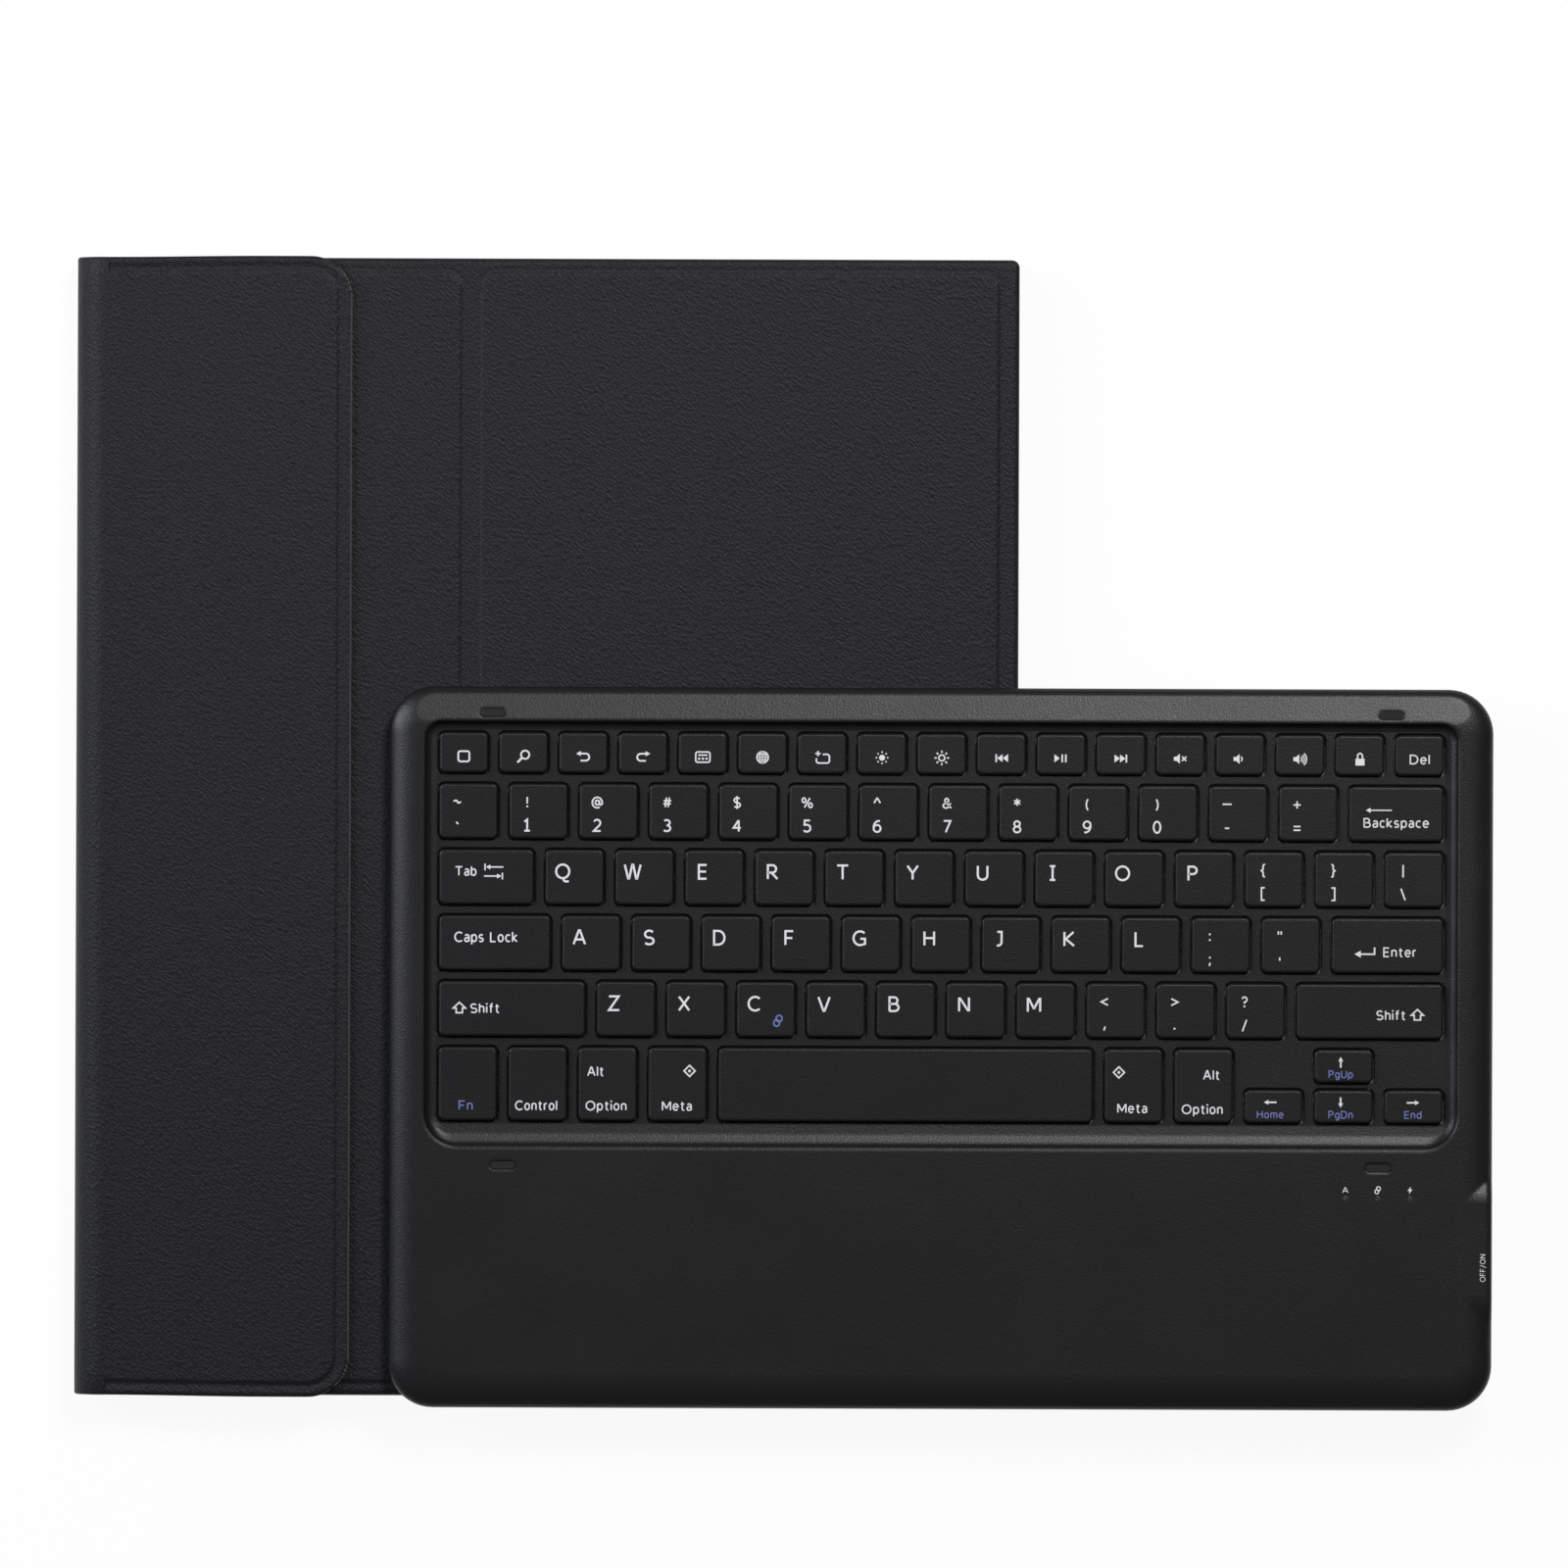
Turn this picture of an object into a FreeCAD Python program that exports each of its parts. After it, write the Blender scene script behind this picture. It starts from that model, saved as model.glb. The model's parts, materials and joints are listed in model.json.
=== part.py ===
import FreeCAD, Part
import os
from FreeCAD import Vector

# Tablet keyboard folio, closed, with its detached keyboard lying across it.
# Millimetres, +Z up. The origin is the centre of the folio's bottom face.

# Folio: the covers reach past the tablet by these margins, the side one for spine and free edge together
COVER_END_MARGIN = 4.0
COVER_SIDE_MARGIN = 24.5
COVER_CORNER_R = 2.0
EDGE_ROLL = 1.6
EDGE_ROLL_HEIGHT = 1.0
BORDER = 3.7
LEATHER = 0.8
BOARD = 1.2
LINING = 0.6
RELIEF = 0.5
PANEL_CORNER_R = 4.0
CREASE_X = -19.5
CREASE_WIDTH = 5.4
LAYER_GAP = 0.2

# Flap over the spine side of the rear cover
FLAP_WIDTH = 61.5
FLAP_OVERLENGTH = 0.4
FLAP_CORNER_R = 8.0
FLAP_LEATHER = 0.7
FLAP_BOARD = 1.0
FLAP_LINING = 0.5
FLAP_HINGE_GAP = 0.4
FLAP_HINGE_BAND = 1.6

# Tablet tray
TABLET_LENGTH = 281.0
TABLET_WIDTH = 215.0
TABLET_THICKNESS = 6.4
TABLET_FIT = 0.4
TABLET_CORNER_R = 12.0
TRAY_WALL = 1.4
TRAY_FLOOR = 1.2
TRAY_LIP = 0.8
TRAY_LIP_THICKNESS = 0.8
TRAY_EDGE_INSET = 4.0
PORT_SLOT_LENGTH = 14.0

# Magnets and steel plates of the folio
MAGNET_LENGTH = 22.0
MAGNET_WIDTH = 6.0
MAGNET_THICKNESS = 0.8
COVER_MAGNET_INSET = 24.0
LATCH_MAGNET_SPACING = 80.0
LATCH_INSET = 8.0

# Keyboard
KEYBOARD_LENGTH = 280.0
KEYBOARD_DEPTH = 183.0
KEYBOARD_HEIGHT = 7.3
KEYBOARD_LEFT_GAP = 10.05
KEYBOARD_CENTRE_Y = -55.8
CASE_CORNER_R = 11.4
CASE_ROLL = 8.6
CASE_ROLL_HEIGHT = 3.4
REAR_FALL = 0.185
REAR_FALL_LAP = 0.2
CASE_WALL = 1.6
BOTTOM_THICKNESS = 1.0
FOOT_HEIGHT = 0.8
FOOT_SINK = 0.4
FOOT_LENGTH = 18.0
FOOT_WIDTH = 5.0
FOOT_INSET = 9.0
REST_GAP = 0.1

# Key field
KEY_FIELD_SIDE = 12.2
KEY_FIELD_REAR = 11.2
KEY_PITCH_SHARE = 5 / 72
KEY_GAP = 2.1
ROW_GAP = 1.9
FUNCTION_ROW_HEIGHT = 11.1
LETTER_ROW_HEIGHT = 14.8
BOTTOM_ROW_HEIGHT = 19.5
FUNCTION_KEY_GAP = 2.0
ARROW_GAP = 1.0
OPENING_CORNER_R = 1.8
KEY_CLEARANCE = 0.4
KEY_ROUND = 0.7
KEY_PROUD = 1.7
KEY_TRAVEL = 1.5
FLANGE_THICKNESS = 0.6
FLANGE_LIP = 0.8
FLANGE_CLEARANCE = 0.1
WEB_THICKNESS = 0.9

# Key well walls, measured in plan
WELL_DEPTH = 2.2
WELL_MARGIN = 0.4
WELL_SIDE_SLOPE = 3.0
WELL_REAR_SLOPE = 2.1
WELL_FRONT_SLOPE = 6.0
WELL_FLOOR_CORNER_R = 1.6
WELL_REAR_CORNER_R = 4.5
WELL_FRONT_CORNER_R = 9.0
WELL_SCOOP = ((0.0, 0.0), (0.45, 0.12), (0.8, 0.45), (1.0, 1.0))

# Keyboard inside
PLATE_THICKNESS = 0.4
MEMBRANE_THICKNESS = 0.25
DOME_BASE_R = 2.6
DOME_TOP_R = 1.4
DOME_CLEARANCE = 0.1
PALM_ROOF = 1.5
RIB = 2.0
SCREW_R = 1.0
SCREW_HEAD_R = 1.9
SCREW_HEAD_HEIGHT = 0.6
SCREW_LENGTH = 4.0
SCREW_INSET = 6.0
BUMPER_LENGTH = 6.2
BUMPER_WIDTH = 1.8
BUMPER_SINK = 0.6
BUMPER_PROUD = 0.35
REAR_BUMPER_INSET_X = 26.0
FRONT_BUMPER_INSET_X = 29.0
REAR_BUMPER_INSET_Y = 6.6
FRONT_BUMPER_INSET_Y = 4.5
LAMP_COUNT = 3
LAMP_SPACING = 8.2
LAMP_R = 0.35
LAMP_INSET_X = 20.9
LAMP_INSET_Y = 11.7
BOARD_THICKNESS = 1.0
BOARD_LENGTH = 46.0
BATTERY_LENGTH = 90.0
BATTERY_REAR_GAP = 8.7
BATTERY_THICKNESS = 3.6
CASE_MAGNET_LENGTH = 24.0
CASE_MAGNET_WIDTH = 5.0
CASE_MAGNET_THICKNESS = 1.6
MAGNET_CLEARANCE = 1.2

# Side boss with the power switch and the charging port, placed along the palm rest
BOSS_OVERLAP = 1.0
BOSS_SHARE = 0.8
BOSS_REAR_RAMP = 14.0
BOSS_FRONT_RAMP = 15.0
BOSS_REAR_BEND = ((0.3, 0.0), (0.55, 0.3), (0.72, 1.0))
BOSS_FRONT_BEND = ((0.5, 0.0), (0.5, 1.0))
BOSS_TOP_DROP = 0.1
BOSS_ROUND = 1.6
SWITCH_SHARE = 0.5816
SWITCH_KNOB_LENGTH = 3.0
SWITCH_KNOB_HEIGHT = 1.3
SWITCH_KNOB_SINK = 0.2
SWITCH_TRAVEL = 2.5
SWITCH_CLEARANCE = 0.2
SWITCH_BODY_DEPTH = 5.0
SWITCH_BODY_HEIGHT = 2.4
SWITCH_BODY_LENGTH = 9.0
PORT_SHARE = 0.3525
PORT_LENGTH = 8.4
PORT_HEIGHT = 2.8
PORT_SHELL = 0.3
PORT_DEPTH = 6.5
PORT_CLEARANCE = 0.15

# Levels and edges that follow from the sizes above
front_board_low = LEATHER
front_lining_low = front_board_low + BOARD
front_top = front_lining_low + LINING
tray_low = front_top + LAYER_GAP
tray_roof = tray_low + TRAY_LIP_THICKNESS + TABLET_THICKNESS
rear_low = tray_roof + TRAY_FLOOR
rear_board_low = rear_low + LINING
rear_skin_low = rear_board_low + BOARD
rear_top = rear_skin_low + LEATHER
flap_low = rear_top + LAYER_GAP
flap_board_low = flap_low + FLAP_LINING
flap_skin_low = flap_board_low + FLAP_BOARD
flap_top = flap_skin_low + FLAP_LEATHER
spine_r = flap_top / 2
free_edge = (TABLET_WIDTH + COVER_SIDE_MARGIN) / 2
spine_x = -free_edge + spine_r
half_length = TABLET_LENGTH / 2 + COVER_END_MARGIN
flap_left = spine_x + FLAP_HINGE_GAP
flap_right = flap_left + FLAP_WIDTH
flap_half = half_length + FLAP_OVERLENGTH

case_low = rear_top + REST_GAP + FOOT_HEIGHT
case_top = case_low + KEYBOARD_HEIGHT
case_left = flap_right + KEYBOARD_LEFT_GAP
case_right = case_left + KEYBOARD_LENGTH
case_centre_x = (case_left + case_right) / 2
case_rear = KEYBOARD_CENTRE_Y + KEYBOARD_DEPTH / 2
case_front = KEYBOARD_CENTRE_Y - KEYBOARD_DEPTH / 2
inside_low = case_low + BOTTOM_THICKNESS
plate_top = inside_low + PLATE_THICKNESS
membrane_top = plate_top + MEMBRANE_THICKNESS
web_top = case_top - WELL_DEPTH
web_low = web_top - WEB_THICKNESS
flange_top = web_low - FLANGE_CLEARANCE
flange_low = flange_top - FLANGE_THICKNESS
key_top = web_top + KEY_PROUD
field_left = case_left + KEY_FIELD_SIDE
field_right = case_right - KEY_FIELD_SIDE
field_width = field_right - field_left
key_pitch = KEY_PITCH_SHARE * field_width
field_rear = case_rear - KEY_FIELD_REAR
field_depth = FUNCTION_ROW_HEIGHT + 4 * LETTER_ROW_HEIGHT + BOTTOM_ROW_HEIGHT + 5 * ROW_GAP
field_front = field_rear - field_depth
palm_rear = field_front - WELL_FRONT_SLOPE - WELL_MARGIN
palm_roof = case_top - PALM_ROOF
boss_rear = palm_rear + BOSS_OVERLAP
boss_length = BOSS_SHARE * (palm_rear - case_front)
wall_inside = case_right - CASE_WALL
board_top = inside_low + BOARD_THICKNESS
knob_low = board_top + (SWITCH_BODY_HEIGHT - SWITCH_KNOB_HEIGHT) / 2
switch_y = boss_rear - SWITCH_SHARE * boss_length
port_y = boss_rear - PORT_SHARE * boss_length

os.makedirs("parts", exist_ok=True)


def export(name, shapes):
    """Write one node: a single solid, or a group of separate solids."""
    shape = shapes if isinstance(shapes, Part.Shape) else Part.makeCompound(shapes)
    shape.exportStep("parts/" + name + ".step")


def block(x0, x1, y0, y1, z0, z1):
    return Part.makeBox(x1 - x0, y1 - y0, z1 - z0, Vector(x0, y0, z0))


def rounded_wire(x0, x1, y0, y1, z, radii):
    """A rectangle with its own radius at the rear left, rear right, front right and front left corners."""
    rear_left, rear_right, front_right, front_left = radii
    corners = (
        (x0, y1, 1, -1, rear_left, True),
        (x1, y1, -1, -1, rear_right, False),
        (x1, y0, -1, 1, front_right, True),
        (x0, y0, 1, 1, front_left, False),
    )
    edges = []
    last = None
    first = None
    for x, y, sx, sy, r, rises in corners:
        on_side = Vector(x, y + sy * r, z)
        on_end = Vector(x + sx * r, y, z)
        start, stop = (on_side, on_end) if rises else (on_end, on_side)
        middle = Vector(x + sx * r * (1 - 0.5 ** 0.5), y + sy * r * (1 - 0.5 ** 0.5), z)
        if last is not None:
            edges.append(Part.LineSegment(last, start).toShape())
        if first is None:
            first = start
        edges.append(Part.Arc(start, middle, stop).toShape())
        last = stop
    edges.append(Part.LineSegment(last, first).toShape())
    return Part.Wire(edges)


def rounded_plate(x0, x1, y0, y1, z0, z1, radii):
    if not isinstance(radii, tuple):
        radii = (radii,) * 4
    face = Part.Face(rounded_wire(x0, x1, y0, y1, z0, radii))
    return face.extrude(Vector(0, 0, z1 - z0))


def rolled_slab(x0, x1, y0, y1, z0, z1, corner_r, roll, roll_height):
    """A slab whose upper edge falls away all round along a quarter ellipse."""
    def profile():
        top_end = Vector(corner_r - roll, 0, z1)
        side_end = Vector(corner_r, 0, z1 - roll_height)
        centre = Vector(corner_r - roll, 0, z1 - roll_height)
        if roll >= roll_height:
            curve = Part.Ellipse(side_end, top_end, centre)
        else:
            curve = Part.Ellipse(top_end, side_end, centre)
        arc = Part.ArcOfEllipse(curve, curve.parameter(side_end), curve.parameter(top_end))
        if not arc.StartPoint.isEqual(side_end, 1e-6):
            arc = Part.ArcOfEllipse(curve, curve.parameter(top_end), curve.parameter(side_end))
        points = [top_end, Vector(0, 0, z1), Vector(0, 0, z0), Vector(corner_r, 0, z0), side_end]
        edges = [arc.toShape()]
        edges += [Part.LineSegment(a, b).toShape() for a, b in zip(points, points[1:])
                  if not a.isEqual(b, 1e-6)]
        return Part.Face(Part.Wire(Part.__sortEdges__(edges)))

    across = x1 - x0 - 2 * corner_r
    along = y1 - y0 - 2 * corner_r
    centre = Vector((x0 + x1) / 2, (y0 + y1) / 2, 0)
    solids = [block(x0 + corner_r, x1 - corner_r, y0 + corner_r, y1 - corner_r, z0, z1)]
    for turn in range(4):
        span, reach = (along, across) if turn % 2 == 0 else (across, along)
        face = profile()
        face.translate(Vector(reach / 2, -span / 2, 0))
        edge = face.extrude(Vector(0, span, 0))
        corner_face = profile()
        corner_face.translate(Vector(reach / 2, span / 2, 0))
        corner = corner_face.revolve(Vector(reach / 2, span / 2, 0), Vector(0, 0, 1), 90)
        for solid in (edge, corner):
            solid.rotate(Vector(0, 0, 0), Vector(0, 0, 1), 90 * turn)
            solid.translate(centre)
            solids.append(solid)
    return solids[0].multiFuse(solids[1:]).removeSplitter().Solids[0]


def pill(cx, cy, z0, z1, length, width):
    straight = length / 2 - width / 2
    solids = [Part.makeCylinder(width / 2, z1 - z0, Vector(cx + side * straight, cy, z0)) for side in (-1, 1)]
    middle = block(cx - straight, cx + straight, cy - width / 2, cy + width / 2, z0, z1)
    return middle.multiFuse(solids).removeSplitter().Solids[0]


def panel_ranges():
    """The two stiffened panels of the rear cover, either side of the stand crease."""
    strut = (spine_x + BORDER, CREASE_X - CREASE_WIDTH / 2)
    carrier = (CREASE_X + CREASE_WIDTH / 2, free_edge - BORDER - EDGE_ROLL)
    return strut, carrier


def bar(cx, cy, z0, length, width, thickness):
    return block(cx - width / 2, cx + width / 2, cy - length / 2, cy + length / 2, z0, z0 + thickness)


def cover_lining(low, high):
    reach = half_length - EDGE_ROLL
    return rounded_plate(spine_x, free_edge - EDGE_ROLL, -reach, reach, low, high, COVER_CORNER_R)


# Front cover: the half that lies on the table
def front_cover():
    panel = (spine_x + BORDER, free_edge - BORDER - EDGE_ROLL, -half_length + BORDER, half_length - BORDER)
    skin = rounded_plate(spine_x, free_edge, -half_length, half_length,
                         RELIEF, front_lining_low, COVER_CORNER_R)
    skin = skin.fuse(rounded_plate(*panel, 0, RELIEF, PANEL_CORNER_R))
    board = rounded_plate(*panel, front_board_low, front_lining_low, PANEL_CORNER_R)
    skin = skin.cut(board).removeSplitter()
    x_places = (panel[0] + COVER_MAGNET_INSET, panel[1] - COVER_MAGNET_INSET)
    y_places = (panel[2] + COVER_MAGNET_INSET, 0, panel[3] - COVER_MAGNET_INSET)
    magnet_low = front_lining_low - MAGNET_THICKNESS
    magnets = [bar(x, y, magnet_low, MAGNET_LENGTH, MAGNET_WIDTH, MAGNET_THICKNESS)
               for x in x_places for y in y_places]
    export("front_cover_skin", skin)
    export("front_cover_board", board.cut(Part.makeCompound(magnets)))
    export("front_cover_magnets", magnets)
    export("front_cover_lining", cover_lining(front_lining_low, front_top))


# Spine: soft leather outside and a lining strip inside, both half round
def half_ring(centre_z, outer_r, thickness):
    start = Vector(spine_x, -half_length, centre_z)
    axis = Vector(0, 1, 0)
    ring = Part.makeCylinder(outer_r, 2 * half_length, start, axis)
    ring = ring.cut(Part.makeCylinder(outer_r - thickness, 2 * half_length, start, axis))
    side = block(spine_x - outer_r, spine_x, -half_length, half_length,
                 centre_z - outer_r, centre_z + outer_r)
    return ring.common(side)


def spine():
    export("spine_skin", half_ring(spine_r, spine_r, LEATHER))
    lining_low = front_lining_low
    lining_high = rear_low + LINING
    lining_r = (lining_high - lining_low) / 2
    export("spine_lining", half_ring((lining_high + lining_low) / 2, lining_r, LINING))


# Rear cover: leather with two raised panels, boards under them, and the lining
def latch_places():
    y_places = [(i - 1) * LATCH_MAGNET_SPACING for i in range(3)]
    return [(flap_right - BORDER - LATCH_INSET, y) for y in y_places]


def rear_cover():
    y_range = (-half_length + BORDER, half_length - BORDER)
    border_top = rear_top - RELIEF
    skin = rolled_slab(spine_x, free_edge, -half_length, half_length, rear_board_low, border_top,
                       COVER_CORNER_R, EDGE_ROLL, EDGE_ROLL_HEIGHT)
    boards = []
    for x_range in panel_ranges():
        boards.append(rounded_plate(*x_range, *y_range, rear_board_low, rear_skin_low, PANEL_CORNER_R))
        skin = skin.fuse(rounded_plate(*x_range, *y_range, border_top, rear_top, PANEL_CORNER_R))
    skin = skin.cut(Part.makeCompound(boards)).removeSplitter()
    plates = [bar(x, y, rear_skin_low - MAGNET_THICKNESS, MAGNET_LENGTH, MAGNET_WIDTH, MAGNET_THICKNESS)
              for x, y in latch_places()]
    export("rear_cover_skin", skin)
    export("strut_board", boards[0].cut(Part.makeCompound(plates)))
    export("carrier_board", boards[1])
    export("latch_plates", plates)
    export("rear_cover_lining", cover_lining(rear_low, rear_board_low))


# Tray under the rear cover, open downwards, with a thin lip that snaps over the tablet
def tablet_tray():
    inner_x = TABLET_WIDTH + 2 * TABLET_FIT
    inner_y = TABLET_LENGTH / 2 + TABLET_FIT
    right = free_edge - TRAY_EDGE_INSET - TRAY_WALL
    left = right - inner_x
    outer_r = TABLET_CORNER_R + TRAY_WALL
    tray = rounded_plate(left - TRAY_WALL, right + TRAY_WALL, -inner_y - TRAY_WALL, inner_y + TRAY_WALL,
                         tray_low, rear_low, outer_r)
    bay_low = tray_low + TRAY_LIP_THICKNESS
    bay = rounded_plate(left, right, -inner_y, inner_y, bay_low, tray_roof, TABLET_CORNER_R)
    mouth = rounded_plate(left + TRAY_LIP, right - TRAY_LIP, -inner_y + TRAY_LIP, inner_y - TRAY_LIP,
                          tray_low, tray_roof, TABLET_CORNER_R - TRAY_LIP)
    middle = (left + right) / 2
    port = block(middle - PORT_SLOT_LENGTH / 2, middle + PORT_SLOT_LENGTH / 2, inner_y - TRAY_LIP,
                 inner_y + TRAY_WALL, tray_low, tray_roof)
    export("tablet_tray", tray.cut(bay).cut(mouth).cut(port))


# Flap: leather, board, lining and magnets that hold it down
def flap():
    radii = (COVER_CORNER_R, FLAP_CORNER_R, FLAP_CORNER_R, COVER_CORNER_R)
    inner_r = FLAP_CORNER_R - BORDER
    panel_radii = (COVER_CORNER_R, inner_r, inner_r, COVER_CORNER_R)
    panel = (flap_left + FLAP_HINGE_BAND, flap_right - BORDER, -flap_half + BORDER, flap_half - BORDER)
    border_top = flap_top - RELIEF
    skin = rounded_plate(flap_left, flap_right, -flap_half, flap_half, flap_board_low, border_top, radii)
    skin = skin.fuse(rounded_plate(*panel, border_top, flap_top, panel_radii))
    board = rounded_plate(*panel, flap_board_low, flap_skin_low, panel_radii)
    magnets = [bar(x, y, flap_board_low, MAGNET_LENGTH, MAGNET_WIDTH, MAGNET_THICKNESS)
               for x, y in latch_places()]
    export("flap_skin", skin.cut(board).removeSplitter())
    export("flap_board", board.cut(Part.makeCompound(magnets)))
    export("flap_magnets", magnets)
    lining = rounded_plate(flap_left, flap_right, -flap_half, flap_half, flap_low, flap_board_low, radii)
    export("flap_lining", lining)


# Keys: every opening as (node name, left, right, front, rear)
def key_openings():
    single = key_pitch - KEY_GAP
    openings = []

    def row(names, widths, gap, front, rear):
        x = field_left
        for name, width in zip(names, widths):
            openings.append((name, x, x + width, front, rear))
            x += width + gap

    def mixed(left_keys, names, right_keys):
        """One row of single keys between equal wider keys that take up the rest of the field."""
        wide_count = len(left_keys) + len(right_keys)
        spare = field_width - len(names) * key_pitch - KEY_GAP * (wide_count - 1)
        wide = spare / wide_count
        widths = [wide] * len(left_keys) + [single] * len(names) + [wide] * len(right_keys)
        return left_keys + names + right_keys, widths

    rear = field_rear
    front = rear - FUNCTION_ROW_HEIGHT
    names = (["system_keys"] * 7 + ["brightness_keys"] * 2 + ["media_keys"] * 3 + ["volume_keys"] * 3
             + ["lock_key", "delete_key"])
    width = (field_width + FUNCTION_KEY_GAP) / len(names) - FUNCTION_KEY_GAP
    row(names, [width] * len(names), FUNCTION_KEY_GAP, front, rear)
    letter_rows = (
        ([], ["number_keys"] * 13, ["backspace_key"]),
        (["tab_key"], ["upper_letter_keys"] * 13, []),
        (["caps_lock_key"], ["home_letter_keys"] * 11, ["enter_key"]),
        (["left_shift_key"], ["lower_letter_keys"] * 10, ["right_shift_key"]),
    )
    for left_keys, names, right_keys in letter_rows:
        rear = front - ROW_GAP
        front = rear - LETTER_ROW_HEIGHT
        row(*mixed(left_keys, names, right_keys), KEY_GAP, front, rear)
    rear = front - ROW_GAP
    front = rear - BOTTOM_ROW_HEIGHT
    left_names = ["fn_key", "control_key", "left_alt_key", "left_meta_key"]
    right_names = ["right_meta_key", "right_alt_key"]
    space = field_width - 9 * key_pitch
    row(left_names + ["space_key"] + right_names, [single] * 4 + [space] + [single] * 2, KEY_GAP, front, rear)
    half = (BOTTOM_ROW_HEIGHT - ARROW_GAP) / 2
    columns = [field_right - single - i * key_pitch for i in (2, 1, 0)]
    openings.append(("arrow_left_key", columns[0], columns[0] + single, front, front + half))
    openings.append(("arrow_up_key", columns[1], columns[1] + single, rear - half, rear))
    openings.append(("arrow_down_key", columns[1], columns[1] + single, front, front + half))
    openings.append(("arrow_right_key", columns[2], columns[2] + single, front, front + half))
    return openings


def key_cap(x0, x1, y0, y1):
    """A flat cap that fills its opening, with a flange that stops it under the web."""
    c = KEY_CLEARANCE
    cap = rounded_plate(x0 + c, x1 - c, y0 + c, y1 - c, flange_low, key_top, OPENING_CORNER_R - c)
    rim = [edge for edge in cap.Edges if edge.BoundBox.ZMin > key_top - KEY_ROUND]
    cap = cap.makeFillet(KEY_ROUND, rim)
    # The flange lies under the long sides only, so that neighbours in a row keep apart
    flange = block(x0 + OPENING_CORNER_R, x1 - OPENING_CORNER_R, y0 + c - FLANGE_LIP, y1 - c + FLANGE_LIP,
                   flange_low, flange_top)
    return cap.fuse(flange)


def keys():
    groups = {}
    for name, x0, x1, y0, y1 in key_openings():
        groups.setdefault(name, []).append(key_cap(x0, x1, y0, y1))
    for name, caps in groups.items():
        export(name, caps if len(caps) > 1 else caps[0])


def well_cutter():
    """The key well: a flat floor round the key field with walls that scoop up to the case's top."""
    wires = []
    for across, up in WELL_SCOOP:
        side = WELL_MARGIN + WELL_SIDE_SLOPE * across
        rear_r = WELL_FLOOR_CORNER_R + (WELL_REAR_CORNER_R - WELL_FLOOR_CORNER_R) * across
        front_r = WELL_FLOOR_CORNER_R + (WELL_FRONT_CORNER_R - WELL_FLOOR_CORNER_R) * across
        wires.append(rounded_wire(field_left - side, field_right + side,
                                  field_front - WELL_MARGIN - WELL_FRONT_SLOPE * across,
                                  field_rear + WELL_MARGIN + WELL_REAR_SLOPE * across,
                                  web_top + WELL_DEPTH * up, (rear_r, rear_r, front_r, front_r)))
    return Part.makeLoft(wires, True, True)


def screw_places():
    x_places = (case_left + SCREW_INSET, case_centre_x, case_right - SCREW_INSET)
    rear_y = case_rear - SCREW_INSET
    rib_y = palm_rear + RIB / 2
    return [(x, y) for y in (rear_y, rib_y) for x in x_places]


def bumper_places():
    """Each bumper's centre, and the case's height there: the rear strip has begun to fall off."""
    rear_seat = case_top - REAR_FALL * (CASE_ROLL + REAR_FALL_LAP - REAR_BUMPER_INSET_Y)
    places = []
    for inset_x, y, seat in ((REAR_BUMPER_INSET_X, case_rear - REAR_BUMPER_INSET_Y, rear_seat),
                             (FRONT_BUMPER_INSET_X, palm_rear - FRONT_BUMPER_INSET_Y, case_top)):
        places += [(case_left + inset_x, y, seat), (case_right - inset_x, y, seat)]
    return places


def lamp_places():
    y = palm_rear - LAMP_INSET_Y
    return [(case_right - LAMP_INSET_X - i * LAMP_SPACING, y) for i in range(LAMP_COUNT)]


def rear_fall():
    """What is taken off the strip behind the keys, which falls to the rear from the edge of the well."""
    x = case_left - REAR_FALL_LAP
    start = case_rear - CASE_ROLL - REAR_FALL_LAP
    stop = case_rear + REAR_FALL_LAP
    above = case_top + REAR_FALL_LAP
    places = [Vector(x, start, case_top), Vector(x, stop, case_top - REAR_FALL * (stop - start)),
              Vector(x, stop, above), Vector(x, start, above)]
    face = Part.Face(Part.makePolygon(places + places[:1]))
    return face.extrude(Vector(KEYBOARD_LENGTH + 2 * REAR_FALL_LAP, 0, 0))


def side_boss():
    """A raised stretch of the rolled edge, with a hollow ramp at the rear and a soft one at the front."""
    inner = case_right - CASE_ROLL
    top = case_top - BOSS_TOP_DROP
    foot = case_top - CASE_ROLL_HEIGHT
    front = boss_rear - boss_length

    def ramp(end, length, bend):
        """From the foot at one end, over a length along Y; the bend gives the curve's inner poles."""
        poles = [Vector(inner, end + length * along, foot + (top - foot) * up)
                 for along, up in ((0, 0), *bend, (1, 1))]
        curve = Part.BezierCurve()
        curve.setPoles(poles)
        return curve.toShape()

    front_ramp = ramp(front, BOSS_FRONT_RAMP, BOSS_FRONT_BEND)
    rear_ramp = ramp(boss_rear, -BOSS_REAR_RAMP, BOSS_REAR_BEND)
    crest = [(front + BOSS_FRONT_RAMP, top), (boss_rear - BOSS_REAR_RAMP, top)]
    under = [(boss_rear, foot), (boss_rear, case_low), (front, case_low), (front, foot)]
    lines = []
    for run in (crest, under):
        places = [Vector(inner, y, z) for y, z in run]
        lines += [Part.LineSegment(a, b).toShape() for a, b in zip(places, places[1:])]
    side = Part.Face(Part.Wire(Part.__sortEdges__([front_ramp, rear_ramp] + lines)))
    boss = side.extrude(Vector(CASE_ROLL, 0, 0))
    edges = [edge for edge in boss.Edges
             if edge.BoundBox.XMin > case_right - BOSS_ROUND and edge.BoundBox.ZMax > top - BOSS_ROUND]
    return boss.makeFillet(BOSS_ROUND, edges)


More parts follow.
